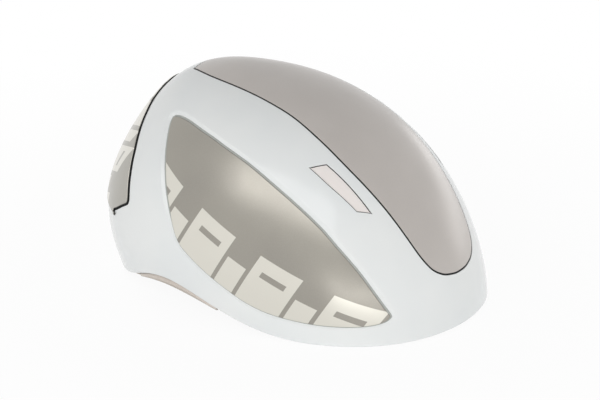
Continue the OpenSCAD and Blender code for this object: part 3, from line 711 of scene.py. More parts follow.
shell_white = polycarbonate_gloss_white()
cover_taupe = satin_paint("paint_satin_taupe", "#B7B1AC", "#BDB7B2", "#CDC9C4", 0.3, 0.34)
side_silver = satin_paint("paint_satin_warm_silver", "#96928A", "#9C988F", "#B4B0A7", 0.75, 0.305,
                          side_pattern, "#D9D6CC")
rear_silver = satin_paint("paint_satin_rear_silver", "#A6A39B", "#ACA9A1", "#C0BDB5", 0.75, 0.305,
                          rear_pattern, "#DEDBD2")
vent_pale = satin_paint("nylon_pale_vent", "#F0E9E5", "#F3EDE9", "#F6F1EE", 0.0, 0.5)
make_shell(shell_white)
# Near-black lips: painted shadow in the gaps round the crown cover, the rear cover and the vents
painted_shadow_black = shade_lip_finish("painted_shadow_lip_black", "#0E0F0F", "#161717")
# Grey lip beside each side cover: painted shade of the shell's bevel that slopes down into the opening
painted_shade_grey = shade_lip_finish("painted_shade_lip_grey", "#AEB1AC", "#B4B7B2")
top_edge, rear_edge = turned(top_loop(), True), turned(rear_loop(), True)
make_cover("crown_cover", "top_cover", top_edge, TOP_GAP, 0, cover_taupe)
make_cover("rear_panel", "rear_cover", rear_edge, REAR_GAP, REAR_DROP, rear_silver)
make_shade_lip("crown_seal", top_edge, TOP_SHADOW_LIP, painted_shadow_black)
make_shade_lip("outlet_shadow_lip", rear_edge, REAR_SHADOW_LIP, painted_shadow_black)
for s, word in SIDES:
    edge = turned(side_loop(s), True)
    share = upper_share(edge)
    make_cover("side_panel_" + word, "side_cover_" + word, edge, SIDE_GAP * share, SIDE_DROP, side_silver)
    # The grey lip along the upper edge is painted shade of the bevel, and it is wider there than along the
    # lower edge
    make_shade_lip("side_shade_lip_" + word, edge, SIDE_SHADE_LIP, painted_shade_grey, share)
    edge = turned(vent_loop(s), True)
    make_cover("vent_window_" + word, "vent_insert_" + word, edge, VENT_GAP, SIDE_DROP, vent_pale)
    make_shade_lip("vent_shadow_lip_" + word, edge, VENT_SHADOW_LIP, painted_shadow_black)


# Foam liner and the strip under its edge

# Share of the way from outside to cavity, and rise over the foam's lower edge
FOAM_SECTION = [(0, 3), (0, 1.6), (0.012, 0.55), (0.04, 0.1), (0.08, 0), (0.46, 0), (0.84, 0),
                (0.93, 0.5), (0.98, 1.7), (1, 3.6)]
FOAM_OUTSIDE = np.full(3, FOAM_OUT)
CHANNEL_Y = (24, 57)
CHANNEL_HALF = 6.2
CHANNEL_DEPTH = 7
CHANNEL_FROM = 54
CHANNEL_FADE = 20
TRIM_W = 6
TRIM_T = 1.2
TRIM_DROP = 2 * SEAT_GAP
LIP_CLEAR = 0.3
LIP_OUT = 1.0
LIP_IN = FOAM_OUT - 0.1
LIP_FOOT = FOAM_OUT + SEAT_GAP + 0.3
LIP_LEAST = 0.1
LIP_STEPS = 400


def ease(x):
    u = np.clip(x, 0, 1)
    return u * u * (3 - 2 * u)


def by_share(a, t, m, z0):
    """Point of the surface m by t, from 0 at the height z0 to 1 at the crown."""
    low = np.arcsin(level_of(a, z0, m))
    return at_level(a, np.sin(low + t * (math.pi / 2 - low)), m)


def channelled(a, t, z0):
    """Point of the cavity's wall with the air channels that run from the brow to the nape."""
    h = 1e-3
    p = by_share(a, t, CAVITY, z0)
    around = by_share(a + h, t, CAVITY, z0) - p
    rise = p - by_share(a, t - h, CAVITY, z0)
    out = unit(np.cross(around, rise))
    across = sum(np.exp(-((np.abs(p[:, 1]) - y) / CHANNEL_HALF) ** 4) for y in CHANNEL_Y)
    return p + out * (CHANNEL_DEPTH * across * ease((p[:, 2] - CHANNEL_FROM) / CHANNEL_FADE))[:, None]


def make_foam(material):
    around, outer, inner = ((256, 24, 72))
    a = angles(around, -math.pi)
    rim = foam_rim_z(a)
    start, end = rim + FOAM_SECTION[0][1], rim + FOAM_SECTION[-1][1]
    rows = [by_share(a, t, FOAM_OUTSIDE, start) for t in np.linspace(1, 0, outer + 1)[1:]]
    for share, rise in FOAM_SECTION[1:-1]:
        rows.append(on_surface(a, rim + rise, FOAM_OUTSIDE + share * (CAVITY - FOAM_OUTSIDE)))
    rows += [channelled(a, t, end) for t in np.linspace(0, 1, inner + 1)[:-1]]
    points = np.vstack(rows + [by_share(a[:1], 1, FOAM_OUTSIDE, 0), by_share(a[:1], 1, CAVITY, 0)])
    foam = mesh_piece("foam_shell", points, tipped_faces(len(rows), around), material)
    settle(foam, "foam_liner")


def rounded_section(width, height, radius, steps=3):
    """Corner-rounded rectangle about its middle, counter-clockwise."""
    section = []
    for k, (sx, sy) in enumerate([(1, 1), (-1, 1), (-1, -1), (1, -1)]):
        for i in range(steps + 1):
            turn = (k + i / steps) * math.pi / 2
            section.append((sx * (width / 2 - radius) + radius * math.cos(turn),
                            sy * (height / 2 - radius) + radius * math.sin(turn)))
    return np.array(section)


def make_trim(material):
    a = angles(300, -math.pi)
    middle = foam_rim_z(a) - TRIM_DROP - TRIM_T / 2
    rows = [on_surface(a, middle + rise, FOAM_OUTSIDE + SEAT_GAP + TRIM_W / 2 + across)
            for across, rise in rounded_section(TRIM_W, TRIM_T, 0.5)]
    settle(ring_piece("edge_strip", rows, material), "rim_trim")
    for s, word in SIDES:
        make_lip("edge_lip_" + word, s, material)


def make_lip(name, s, material):
    """Upstand of the edge strip, over the foam that hangs below the shell beside the ear."""
    a = s * np.linspace(0, math.pi, LIP_STEPS)
    height = rim_z(a) - LIP_CLEAR - foam_rim_z(a)
    a = a[height > LIP_LEAST]
    under, high = foam_rim_z(a) - TRIM_DROP, rim_z(a) - LIP_CLEAR
    low = under - TRIM_T
    corners = [(low, LIP_OUT), (high, LIP_OUT), (high, LIP_IN), (under, LIP_IN), (under, LIP_FOOT),
               (low, LIP_FOOT)]
    rings = np.stack([on_surface(a, z, np.full(3, m)) for z, m in corners], 1)
    settle(closed_rings(name, rings if s < 0 else rings[::-1], material))


# Webbing and the cradle's arms, swept along the lines of the part's source

FRONT_ANCHOR = (46, 17)
REAR_ANCHOR = (138, 24)
ANCHOR_LIFT = 1.4
ANCHOR_PLATE = 1.6
WALL_STEP = ANCHOR_LIFT + ANCHOR_PLATE + SLOT_GAP + STRAP_T / 2
DIV_X = -10
DIV_Y = 42
DIV_L = 26
STRAP_Z = STRAP_W / 2 + SLOT_GAP + CLIP_WALL + 0.6
LAYER_STEP = (STRAP_T + SLOT_GAP) / 2
BUCKLE_X = 50
BUCKLE_L = 17
EYE_OUT = 5.6
EYE_T = 2
EYE_D = 12
PIN_D = 5
RUN_GAP = 0.06
ARM_GAP = 12
# An arm leaves the wall over these degrees, and swings out to its pin over these millimetres
ARM_LEAVES = 110
ARM_LEAVES_OVER = 36
ARM_SWING = 8
ARM_SWING_OVER = 25
ARM_DROPS = 118
ARM_STEPS = 26
BOX_W = 20
BOX_BASE = 4.5
RACK_TRAVEL = 15
RACK_END = BOX_W + RACK_TRAVEL + 3
YOKE_T = 2
LOBE_Y = 25
LOBE_UP = 13


def wall_in(a, z):
    """Direction into the cavity at a place on its wall."""
    h = 1e-3
    p = on_surface(a, z, CAVITY)
    return unit(np.cross(on_surface(a, z + h, CAVITY) - p, on_surface(a + h, z, CAVITY) - p))


def beside(anchor, along, up=0):
    """Place and upward direction of webbing that passes an anchor, along the wall from it."""
    a, z = math.radians(anchor[0]), anchor[1]
    w = wall_in(a, z)
    u = unit(np.cross([0, 0, 1], w))
    return [*(on_surface(a, z, CAVITY) + (WALL_STEP + up) * w + along * u), *np.cross(w, u)]


def upright(x, y, z=STRAP_Z):
    return [x, y, z, 0, 0, 1]


def drawn_in(degrees, gap):
    """Place in plan, drawn in by gap from the cavity's widest level."""
    q = at_level(math.radians(degrees), 0.0, CAVITY)[:2]
    return q * (1 - gap / np.linalg.norm(q))


def in_plan(degrees, gap, z=STRAP_Z):
    return upright(*drawn_in(degrees, gap), z)


def into_divider(s):
    places = [(3, 18), (0.5, 15.5), (0, 12.5), (0, 9), (0, 5), (0, 1)]
    return [upright(DIV_X + s * (LAYER_STEP + x), DIV_Y + y) for x, y in places]


def front_line():
    return ([beside(FRONT_ANCHOR, e) for e in (5, 0, -6)]
            + [in_plan(54, 5.4, 15), in_plan(62, 7.5, 12.5), in_plan(74, 13), upright(8, DIV_Y + 22),
               upright(0, DIV_Y + 21)] + into_divider(1))


def rear_line():
    return ([beside(REAR_ANCHOR, e) for e in (-5, 0, 3)]
            + [beside(REAR_ANCHOR, 7, 0.7), in_plan(127, 6.5, 16), in_plan(119, 7.5, STRAP_Z + 1),
               in_plan(109, 12), upright(-18, DIV_Y + 20)] + into_divider(-1))


def chin_line():
    drawn = [(DIV_X, DIV_Y - 1), (DIV_X, DIV_Y - 7), (DIV_X, DIV_Y - DIV_L / 2 - 1), (DIV_X + 3, 20),
             (DIV_X + 12, 14), (12, 13), (23, 19), (31, 32), (38, 42), (45, 45),
             (BUCKLE_X, 40), (BUCKLE_X, 34), (BUCKLE_X, 24), (BUCKLE_X, BUCKLE_L - 4)]
    return [upright(x, y) for x, y in drawn]


def temple():
    return on_surface(math.radians(TEMPLE_A), TEMPLE_Z, CAVITY)


def eye_y():
    return temple()[1] - EYE_OUT - SEAT_GAP - EYE_T


def arm_plan(degrees):
    place = temple()
    middle = eye_y() + EYE_T / 2
    leaving = ease((ARM_LEAVES - degrees) / ARM_LEAVES_OVER)
    x, y = drawn_in(degrees, ARM_GAP + (place[1] - middle - ARM_GAP) * leaving)
    return x, min(y, middle + ARM_SWING * ease((place[0] - ARM_SWING - x) / ARM_SWING_OVER))


def arm_rear():
    """Degrees from the front at which the arm meets its tooth bar."""
    degrees = 160.0
    while arm_plan(degrees)[1] < RACK_END and degrees >= 130:
        degrees -= 0.5
    return degrees


def rack_x():
    return arm_plan(arm_rear())[0]


def arm_line():
    rear = arm_rear()
    line = [upright(rack_x(), RACK_END + 0.8, DIAL_Z)]
    for k in range(1, ARM_STEPS + 1):
        degrees = rear + (TEMPLE_A + 3 - rear) * k / ARM_STEPS
        dropped = ease((degrees - ARM_DROPS) / (rear - 4 - ARM_DROPS))
        line.append(upright(*arm_plan(degrees), TEMPLE_Z + (DIAL_Z - TEMPLE_Z) * dropped))
    return line


def sweep(line, section, s, steps):
    """Rings of a section, given as (up, through), along a line with its own upward direction."""
    laid = curve(line, steps)
    places, ups = laid[:, :3] * np.array([1, s, 1]), laid[:, 3:] * np.array([1, s, 1])
    along = unit(np.gradient(places, axis=0))
    up = unit(ups - (ups * along).sum(-1, keepdims=True) * along)
    through = np.cross(along, up)
    rings = places[:, None] + up[:, None] * section[:, :1] + through[:, None] * section[:, 1:]
    return places, rings


def closed_rings(name, rings, material, real=None):
    """Closed piece from rings, and a map in real metres across and along it."""
    count, size = rings.shape[:2]
    faces = [face[::-1] for face in grid_faces(count, size)]
    faces += [tuple(range(size - 1, -1, -1)), tuple(range((count - 1) * size, count * size))]
    made = mesh_piece(name, rings.reshape(-1, 3), faces, material)
    if real is not None:
        layer = made.data.uv_layers.new(name="real_size")
        numbers = np.zeros(len(made.data.loops), int)
        made.data.loops.foreach_get("vertex_index", numbers)
        layer.data.foreach_set("uv", (real.reshape(-1, 2)[numbers] * MM).ravel())
    return made


def make_strap(name, node, line, s, material, body="root"):
    """Woven strap with rounded selvedges."""
    section = rounded_section(STRAP_W, STRAP_T, 0.45)
    places, rings = sweep(line, section, s, 12)
    run = run_along(places)
    real = np.stack(np.broadcast_arrays(section[None, :, 0], run[:, None]), -1)
    strap = closed_rings(name, rings, material, real)
    settle(strap, node, body)
    return strap


def make_straps(material):
    for s, word in SIDES:
        make_strap("front_web_" + word, "front_strap_" + word, front_line(), s, material)
        make_strap("rear_web_" + word, "rear_strap_" + word, rear_line(), s, material)
    make_strap("chin_web_left", "chin_strap_left", chin_line(), 1, material)
    lifted = make_strap("chin_web_right", "chin_strap_right", chin_line(), -1, material, None)
    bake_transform(lifted)


ARM_SECTION = [(5, 0.35), (4.75, 0.9), (4.2, 0.95), (3.8, 0.7), (3.4, 0.42), (-3.4, 0.42), (-3.8, 0.7),
               (-4.2, 0.95), (-4.75, 0.9), (-5, 0.35)]


def make_arms(material):
    """Flexible arms with thicker edges, each ending in an eye round its temple pin."""
    section = np.array(ARM_SECTION + [(u, -t) for u, t in ARM_SECTION[::-1]])
    section = section * np.array([ARM_H / 10, ARM_T / 1.9])
    turn = angles(48)
    inner, outer, half = PIN_D / 2 + RUN_GAP, EYE_D / 2, EYE_T / 2
    bore = [(inner, -half), (outer - 0.3, -half), (outer, 0.3 - half), (outer, half - 0.3),
            (outer - 0.3, half), (inner, half)]
    for s, word in SIDES:
        _, band = sweep(arm_line(), section, s, 4)
        arm = closed_rings("arm_" + word, band, material)
        middle = temple() * np.array([1, s, 1])
        rows = [np.stack([middle[0] + r * np.cos(turn), 0 * turn + s * (eye_y() + half + y),
                          middle[2] + r * np.sin(turn)], 1) for r, y in bore]
        eye = ring_piece("eye_" + word, rows, material, inward=s < 0)
        with bpy.context.temp_override(active_object=arm, selected_editable_objects=[arm, eye]):
            bpy.ops.object.join()
        settle(arm, "cradle_arm_" + word, None)
        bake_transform(arm)


STITCH_L = 2.4
STITCH_R = 0.22
STITCH_ENDS = ((0.0, 0.35), (0.15, 1.0), (0.85, 1.0), (1.0, 0.35))
STITCH_SIDES = 6
TACK_FROM = 12
TACK_ROWS = 4
TACK_STEP = 1.0
TACK_MARGIN = 1.4
TACK_LEAN = 0.35


def make_tacks(name, line, side, s, material):
    """Bar tacks across a strap: rows of short threads that lie on its face."""
    places, rings = sweep(line, np.array([(1.0, 0.0), (0.0, 1.0)]), s, 12)
    run = run_along(places)
    ups, outs = rings[:, 0] - places, rings[:, 1] - places

    def at(distance, table):
        return np.array([np.interp(distance, run, table[:, k]) for k in range(3)])

    turn = angles(STITCH_SIDES)
    points, faces = [], []
    across = np.arange(TACK_MARGIN - STRAP_W / 2, STRAP_W / 2 - TACK_MARGIN + 0.1, TACK_STEP)
    for row in range(TACK_ROWS):
        for k, height in enumerate(across):
            lean = TACK_LEAN if (row + k) % 2 else -TACK_LEAN
            base = len(points) * STITCH_SIDES
            for share, swell in STITCH_ENDS:
                here = TACK_FROM + row * STITCH_L * 0.9 + share * STITCH_L
                up, out = at(here, ups), at(here, outs) * side
                lift = up * (height + lean * (2 * share - 1)) + out * (STRAP_T / 2 + 0.02)
                rim = np.outer(np.cos(turn), up) + np.outer(np.sin(turn), out)
                points.append(at(here, places) + lift + STITCH_R * swell * rim)
            walls = grid_faces(len(STITCH_ENDS), STITCH_SIDES, base)
            faces += [face[::-1] if side > 0 else face for face in walls]
            end = np.arange(base, base + STITCH_SIDES)
            faces += [end, end[::-1] + (len(STITCH_ENDS) - 1) * STITCH_SIDES]
    settle(mesh_piece(name, np.vstack(points), faces, material))


# Comfort pads: foam under knitted mesh, with a flat welded border and pressed grooves

PAD_FLOOR = CAVITY + 3 * SEAT_GAP + DOT_T + 0.4
PAD_WELD = 1.6
PAD_EDGE = [(0, 0.3), (0.1, 1.0), (0.45, 1.45), (1.0, PAD_WELD), (2.4, PAD_WELD)]
PAD_RISE = 5.5
GROOVE_DEPTH = 2.4
GROOVE_HALF = 1.5
PAD_STEP = 1.5
# Length, width, middle and turn of each drawn outline, the two axes that it is drawn along, where its
# part of the wall begins along the third axis, and the places of its grooves
WALL_PADS = {
    "brow_%s": (102, 22, (0, 34), 0, [1, 2], 40, (-34, -17, 0, 17, 34)),
    "crown_%s": (104, 26, (-18, 0), 0, [0, 1], 60, (-32, -11, 11, 32)),
    "side_%s_left": (84, 20, (-16, 41), 4, [0, 1], 60, (-24, 0, 24)),
    "side_%s_right": (84, 20, (-16, -41), -4, [0, 1], 60, (-24, 0, 24)),
}


def long_outline(length, width, step=3.0):
    """Points round a strip with half-round ends, about its middle."""
    radius = width / 2
    straight = length / 2 - radius
    sides = max(2, round(2 * straight / step))
    ends = max(6, round(math.pi * radius / step))
    points = [(straight * (1 - 2 * i / sides), radius) for i in range(sides)]
    points += [(-straight - radius * math.sin(math.pi * i / ends), radius * math.cos(math.pi * i / ends))
               for i in range(ends)]
    return np.array(points + [(-x, -y) for x, y in points])


def make_pad(name, node, drawn, axes, region, groove, material):
    """Pad on the cavity's wall. groove gives how deep a place lies in the pressed grooves, 0 to 1."""
    spacing = 1.8
    loop = find(drawn, axes, region, PAD_FLOOR)
    loop = np.vstack([loop, loop[:1]])
    loop = turned(even(loop, PAD_STEP, on_sheet(loop, PAD_FLOOR)), True)
    rows = []
    for offset, rise in PAD_EDGE:
        q = inset(loop, offset, PAD_FLOOR)[0] if offset else loop
        rows.append(on_sheet(q, PAD_FLOOR) - outward(q, PAD_FLOOR) * rise)
    q, triangles, ids = fill([inset(loop, PAD_EDGE[-1][0], PAD_FLOOR)[0]], spacing, PAD_FLOOR)
    floor, up = on_sheet(q, PAD_FLOOR), outward(q, PAD_FLOOR)
    border = floor[ids[0]]
    reach = np.array([np.sqrt(((border - p) ** 2).sum(1).min()) for p in floor])
    crown = (PAD_T - PAD_WELD) * np.sqrt(ease(reach / PAD_RISE))
    crown = crown * (1 - GROOVE_DEPTH / (PAD_T - PAD_WELD) * groove(floor))
    face = floor - up * (PAD_WELD + crown)[:, None]
    count, ring = len(q), len(loop)
    points = np.vstack([face, floor] + rows[:-1] + [on_sheet(loop, PAD_FLOOR)])
    faces = list(triangles[:, ::-1]) + list(count + triangles)
    steps = [2 * count + k * ring + np.arange(ring) for k in range(len(rows))]
    strips = [(ids[0] + count, steps[-1]), (steps[-1], steps[0])]
    strips += [(steps[k], steps[k + 1]) for k in range(len(rows) - 2)] + [(steps[-2], ids[0])]
    for low, high in strips:
        faces += strip_faces(high, low)
    pad = mesh_piece(name, points, faces, material)
    weld = np.ones(len(points))
    weld[:count] = 1 - ease(crown / 1.2)
    mark(pad, "weld", weld)
    settle(pad, node)


def mark(piece, name, values):
    """Puts a number on each point of a mesh, for its material to read."""
    layer = piece.data.attributes.new(name, "FLOAT", "POINT")
    layer.data.foreach_set("value", np.asarray(values, np.float32))


def grooves_across(values, places):
    """How deep each value lies in a groove at one of the places."""
    return sum(np.exp(-((values - place) / GROOVE_HALF) ** 2) for place in places)


def make_wall_pads(material):
    """Each pad's outline is drawn in the front view or the one from above, with its grooves across it."""
    for name, (length, width, middle, turn, axes, begins, grooves) in WALL_PADS.items():
        c, n = math.cos(math.radians(turn)), math.sin(math.radians(turn))
        drawn = long_outline(length, width) @ np.array([[c, -n], [n, c]]) + np.array(middle)
        make_pad(name % "cushion", name % "pad", drawn, axes, lambda p: p[:, 3 - sum(axes)] > begins,
                 lambda p: grooves_across(p[:, axes[0]] - middle[0], grooves), material)


YOKE_PAD_R = 8.2
YOKE_PAD_T = 3.6
YOKE_PAD_OUTLINE = [(0, 0), (1, 0), (1.02, 0.28), (0.97, 0.42), (0.82, 0.44), (0.72, 0.62), (0.56, 0.86),
                    (0.36, 0.97), (0.18, 1), (0, 1)]


def make_yoke_pads(material):
    """Two round nape pads, crowned inside a welded rim."""
    around = 40
    x, y, z = rack_x() + BOX_BASE + 2 * SEAT_GAP + YOKE_T, LOBE_Y, DIAL_Z + LOBE_UP
    turn = angles(around)
    for s, word in SIDES:
        rows = [np.stack([x + YOKE_PAD_T * rise + 0 * turn, s * y + YOKE_PAD_R * share * np.cos(turn),
                          z + YOKE_PAD_R * share * np.sin(turn)], 1)
                for share, rise in YOKE_PAD_OUTLINE[1:-1]]
        points = np.vstack(rows + [[(x, s * y, z)], [(x + YOKE_PAD_T, s * y, z)]])
        faces = [face[::-1] for face in tipped_faces(len(rows), around)]
        pad = mesh_piece("nape_cushion_" + word, points, faces, material)
        weld = [1.0 if share > 0.8 else 0.0 for share, _ in YOKE_PAD_OUTLINE[1:-1] for _ in range(around)]
        mark(pad, "weld", weld + [0.0, 0.0])
        settle(pad, "cradle_pad_" + word, "cradle")


# Finishes of the inner pieces

def bead_foam_black():
    """Expanded polystyrene moulded in a black mix: pressed beads with fine dark seams, dry and matt."""
    made, tree, place = start_material("bead_foam_black")
    beads = {"Vector": place, "Scale": per(3.2)}
    seam = add(tree, "TexVoronoi", beads, out="Distance", feature="DISTANCE_TO_EDGE")
    seam = add(tree, "ValToRGB", {"Fac": seam}, stops=[(0.0, 0.0), (0.12, 1.0)])
    shade = add(tree, "TexVoronoi", beads, out="Color", feature="F1")
    shade = add(tree, "SeparateColor", {"Color": shade})
    bead = add(tree, "ValToRGB", {"Fac": shade}, stops=[(0.0, "#303134"), (1.0, "#3E3F43")])
    colour = add(tree, "Mix", {0: seam, 6: "#1E1F21", 7: bead}, **MIX_COLOUR)
    return surface(made, colour, 0.82, (seam, 0.12, 0.7), {"IOR": 1.45})


def soft_strip_beige():
    """Moulded soft TPU edge strip: warm pale and matt, with a fine leather grain."""
    made, tree, place = start_material("soft_strip_beige")
    colour = cloudy(tree, place, 30, 3, (0.3, "#CFC5BB"), (0.7, "#D9D0C7"))
    pebbles = add(tree, "TexVoronoi", {"Vector": place, "Scale": per(0.8)}, feature="SMOOTH_F1")
    return surface(made, colour, 0.6, (pebbles, 0.06, 0.6), {"IOR": 1.5})


def knitted_mesh_charcoal():
    """Knitted polyester mesh over foam: open cells with paler yarn between, and a flat welded border."""
    made, tree, place = start_material("knitted_mesh_charcoal")
    cells = add(tree, "TexVoronoi", {"Vector": place, "Scale": per(1.7), "Randomness": 0.25},
                out="Distance", feature="DISTANCE_TO_EDGE")
    yarn = add(tree, "ValToRGB", {"Fac": cells}, stops=[(0.05, 1.0), (0.22, 0.0)])
    thread = cloudy(tree, place, 0.5, 3, (0.3, "#3A3C40"), (0.7, "#4D4F54"))
    knit = add(tree, "Mix", {0: yarn, 6: "#1A1B1D", 7: thread}, **MIX_COLOUR)
    weld = add(tree, "Attribute", out="Fac", attribute_name="weld")
    colour = add(tree, "Mix", {0: weld, 6: knit, 7: "#242528"}, **MIX_COLOUR)
    roughness = add(tree, "ValToRGB", {"Fac": weld}, stops=[(0.0, 0.88), (1.0, 0.6)])
    return surface(made, colour, roughness, (yarn, 0.18, 0.8),
                   {"IOR": 1.5, "Sheen Weight": 0.25, "Sheen Roughness": 0.4})


def hook_tape_black():
    """Moulded nylon hook tape: a dense field of tiny hooks that reads as a rough dark nap."""
    made, tree, place = start_material("hook_tape_black")
    hooks = add(tree, "TexVoronoi", {"Vector": place, "Scale": per(0.9), "Randomness": 0.3})
    nap = add(tree, "ValToRGB", {"Fac": hooks}, stops=[(0.1, 1.0), (0.6, 0.0)])
    colour = add(tree, "Mix", {0: nap, 6: "#111213", 7: "#2A2B2D"}, **MIX_COLOUR)
    return surface(made, colour, 0.7, (nap, 0.3, 0.8), {"IOR": 1.53})


def nylon_spark_textured(name, dark, light, rough):
    """Injection-moulded nylon from a spark-eroded mould: a fine even bite, and edges rubbed smoother."""
    made, tree, place = start_material(name)
    bite = add(tree, "TexNoise", {"Vector": place, "Scale": per(0.45), "Detail": 3, "Roughness": 0.6})
    colour = cloudy(tree, place, 14, 3, (0.3, dark), (0.7, light))
    edges = add(tree, "NewGeometry", out="Pointiness")
    rubbed = add(tree, "ValToRGB", {"Fac": edges}, stops=[(0.5, 0.0), (0.6, 0.5)])
    colour = add(tree, "Mix", {0: rubbed, 6: colour, 7: "#5A5B5E"}, **MIX_COLOUR)
    roughness = cloudy(tree, place, 14, 3, (0.3, rough), (0.7, rough + 0.08))
    return surface(made, colour, roughness, (bite, 0.03, 0.8), {"IOR": 1.53})


def acetal_natural():
    """Natural acetal: milky ivory, waxy and smooth, with faint flow lines from moulding."""
    made, tree, place = start_material("acetal_natural")
    flow = add(tree, "TexWave", {"Vector": place, "Scale": per(60), "Distortion": 4}, out="Fac")
    colour = add(tree, "ValToRGB", {"Fac": flow}, stops=[(0.2, "#D6D3CA"), (0.8, "#DDDAD2")])
    grain = add(tree, "TexNoise", {"Vector": place, "Scale": per(1.2)})
    return surface(made, colour, 0.34, (grain, 0.01, 1),
                   {"IOR": 1.48, "Subsurface Weight": 0.15, "Subsurface Scale": 2 * MM})


def rubber_soft_black():
    """Moulded elastomer: deep matt black with a little dust in its pores."""
    made, tree, place = start_material("rubber_soft_black")
    dust = add(tree, "TexNoise", {"Vector": place, "Scale": per(3), "Detail": 4, "Roughness": 0.65})
    colour = add(tree, "ValToRGB", {"Fac": dust}, stops=[(0.45, "#1A1A1C"), (0.75, "#2B2B2D")])
    pores = add(tree, "TexNoise", {"Vector": place, "Scale": per(0.5)})
    return surface(made, colour, 0.78, (pores, 0.03, 1), {"IOR": 1.52})


def metal(name, bright, rough, streak_mm):
    """Small turned or plated metal parts: bright, with the fine streaks of turning or rolling."""
    made, tree, place = start_material(name)
    stretch = add(tree, "Mapping", {"Vector": place, "Scale": (0.12, 1.0, 1.0)})
    streaks = add(tree, "TexNoise", {"Vector": stretch, "Scale": per(streak_mm), "Detail": 3})
    roughness = add(tree, "ValToRGB", {"Fac": streaks}, stops=[(0.3, rough - 0.06), (0.7, rough + 0.1)])
    patches = cloudy(tree, place, 6, 3, (0.4, 1.0), (0.8, 0.82))
    colour = add(tree, "Mix", {0: patches, 6: "#77797B", 7: bright}, **MIX_COLOUR)
    return surface(made, colour, roughness, (streaks, 0.006, 1), {"Metallic": 1.0})


def webbing_black():
    """Woven polyester webbing: fine ribs across, a herringbone along, and tight rounded selvedges."""
    made, tree = start_material("webbing_black")[:2]
    real = add(tree, "TexCoord", out="UV")
    across, along = [add(tree, "SeparateXYZ", {"Vector": real}, out=axis) for axis in "XY"]
    zigzag, weft, warp = 3.5 * MM, 0.6 * MM, 0.45 * MM
    lean = add(tree, "Math", {0: across, 1: zigzag}, operation="PINGPONG")
    tilted = add(tree, "Math", {0: along, 1: lean}, operation="ADD")
    rib = add(tree, "Math", {0: tilted, 1: weft}, operation="PINGPONG")
    cord = add(tree, "Math", {0: across, 1: warp}, operation="PINGPONG")
    rib = add(tree, "Math", {0: rib, 1: 1 / weft}, operation="MULTIPLY")
    height = add(tree, "Math", {0: cord, 1: 0.3 / warp, 2: rib}, operation="MULTIPLY_ADD")
    colour = add(tree, "ValToRGB", {"Fac": height}, stops=[(0.25, "#17181A"), (0.95, "#3A3B3F")])
    return surface(made, colour, 0.72, (height, 0.12, 0.8),
                   {"IOR": 1.5, "Sheen Weight": 0.2, "Sheen Roughness": 0.5})


def thread_grey():
    """Bonded polyester thread: paler than the webbing, with a slight sheen."""
    made, tree, place = start_material("thread_grey")
    twist = add(tree, "TexNoise", {"Vector": place, "Scale": per(0.4), "Detail": 1})
    colour = add(tree, "ValToRGB", {"Fac": twist}, stops=[(0.35, "#6A6B6E"), (0.65, "#8C8D90")])
    return surface(made, colour, 0.5, (twist, 0.05, 1), {"IOR": 1.5})


def finish_nodes(material, *starts, edge=0.25):
    """Gives a finish and softened edges to the frame's own nodes whose names begin so."""
    for name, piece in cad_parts.items():
        if not name.startswith(starts):
            continue
        for place in piece.material_slots:
            place.material = material
        if edge:
            soft = piece.modifiers.new("soft_edges", "BEVEL")
            soft.width = edge * MM
            soft.segments = 2
            soft.limit_method = "ANGLE"
            soft.angle_limit = math.radians(38)
            soft.harden_normals = True


foam_black = bead_foam_black()
mesh_fabric = knitted_mesh_charcoal()
nylon_black = nylon_spark_textured("nylon_black_textured", "#2C2D30", "#37383C", 0.5)
nylon_arm = nylon_spark_textured("nylon_flexible_black", "#34353A", "#3F4045", 0.42)
acetal = acetal_natural()
rubber = rubber_soft_black()
steel = metal("steel_turned", "#B4B6B8", 0.3, 0.5)
nickel = metal("magnet_nickel_plated", "#C9CACB", 0.2, 1.5)
webbing = webbing_black()
thread = thread_grey()
make_foam(foam_black)
make_trim(soft_strip_beige())
make_wall_pads(mesh_fabric)
make_yoke_pads(mesh_fabric)
make_straps(webbing)
make_arms(nylon_arm)
for s, word in SIDES:
    make_tacks("front_tack_" + word, front_line(), 1, s, thread)
    make_tacks("rear_tack_" + word, rear_line(), -1, s, thread)
finish_nodes(hook_tape_black(), "hook_dots", edge=0)
finish_nodes(nylon_black, "temple_anchor", "front_anchor", "rear_anchor", "gearbox_base", "gearbox_cover",
             "dial_knob", "cradle_yoke", "divider_left", "divider_right", "divider_lever", "buckle_base",
             "buckle_slider")
finish_nodes(acetal, "rack_", "pinion_gear", edge=0.12)
finish_nodes(rubber, "dial_grip", "strap_keeper", edge=0.2)
finish_nodes(steel, "temple_pin", "divider_pin", "gearbox_screws", "dial_screw", "click_spring",
             edge=0.12)
finish_nodes(nickel, "buckle_magnet", "slider_magnet", edge=0.1)


# Studio

# Share of the floor's white that doesn't depend on the light: near the object, and away from it
FLOOR_NEAR = 0.94
FLOOR_FAR = 1.0
FLOOR_REACH = 14000
FLOOR_DROP = 0.4


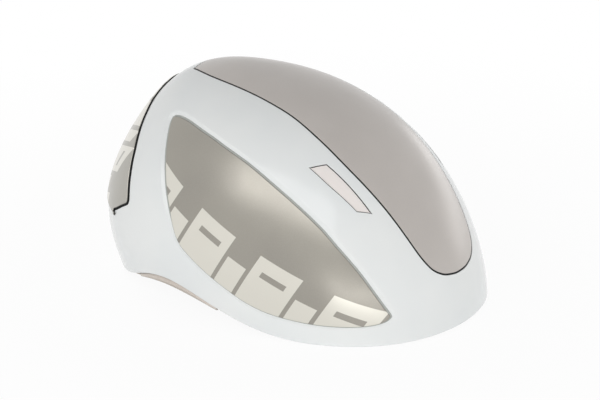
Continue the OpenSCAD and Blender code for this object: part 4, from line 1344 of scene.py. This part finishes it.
def make_stage():
    """Round pale floor that keeps a faint shadow under the object and is plain white away from it."""
    material, tree, place = start_material("paper_white_seamless")
    fibres = cloudy(tree, place, 3, 3, (0.3, "#F8F8F8"), (0.7, "#FAFAFA"))
    paper = add(tree, "BsdfDiffuse", {"Color": fibres})
    glow = add(tree, "Emission", {"Color": (1, 1, 1, 1), "Strength": 1.0})
    away = add(tree, "VectorMath", {0: place}, out="Value", operation="LENGTH")
    steady = add(tree, "MapRange", {"Value": away, "From Min": 0.12, "From Max": 0.5,
                                    "To Min": FLOOR_NEAR, "To Max": FLOOR_FAR})
    share = add(tree, "Math", {0: white_rays(tree), 1: steady}, operation="MULTIPLY")
    finish_material(material, add(tree, "MixShader", {0: share, 1: paper, 2: glow}))
    points = [(FLOOR_REACH * math.cos(t), FLOOR_REACH * math.sin(t), -FLOOR_DROP) for t in angles(96)]
    floor = mesh_piece("seamless", points, [tuple(range(len(points)))], material)


def white_rays(tree):
    """1 for the rays that should find a plain white backdrop: the camera's, and those of gloss."""
    rays = add(tree, "LightPath", out="Is Camera Ray")
    for kind in ("Is Glossy Ray", "Is Transmission Ray"):
        rays = add(tree, "Math", {0: rays, 1: add(tree, "LightPath", out=kind)}, operation="MAXIMUM")
    return rays


# Soft boxes: azimuth, elevation, distance in mm, size in metres, watts, and whether gloss mirrors them.
# The fills light the pieces and leave no streak on gloss. The two cards put a faint gleam on lower edges.
LAMPS = {
    "top_box": (5, 43.5, 1800, (2.0, 0.68), 8.6, True),
    "right_fill": (0, 2, 1700, (3.0, 0.3), 11.5, False),
    "front_fill": (115, 2, 1700, (3.0, 0.3), 13.5, False),
    "rear_fill": (235, 14, 1700, (2.6, 0.8), 7, False),
    "low_card": (44, 1, 1700, (1.1, 0.22), 2, True),
    "far_card": (165, 2, 1700, (1.4, 0.4), 2, True),
}
LAMP_AIM = np.array([0.0, 0.0, 70.0])
WORLD_LEVEL = 0.31


def make_lights():
    world = bpy.data.worlds.new("studio")
    world.use_nodes = True
    tree = world.node_tree
    tree.nodes.clear()
    soft = add(tree, "Background", {"Color": (1, 1, 1, 1), "Strength": WORLD_LEVEL})
    seen = add(tree, "Background", {"Color": (1, 1, 1, 1), "Strength": 1.0})
    mix = add(tree, "MixShader", {0: white_rays(tree), 1: soft, 2: seen})
    tree.links.new(mix, tree.nodes.new("ShaderNodeOutputWorld").inputs["Surface"])
    bpy.context.scene.world = world
    for name, (azimuth, elevation, distance, size, watts, mirrored) in LAMPS.items():
        data = bpy.data.lights.new(name, "AREA")
        data.shape = "RECTANGLE"
        data.size, data.size_y = size
        data.energy = watts
        made = bpy.data.objects.new(name, data)
        made.visible_glossy = mirrored
        look(made, LAMP_AIM + distance * toward(azimuth, elevation), LAMP_AIM)


bpy.context.scene.view_settings.view_transform = "Standard"
make_camera()
make_lights()
make_stage()
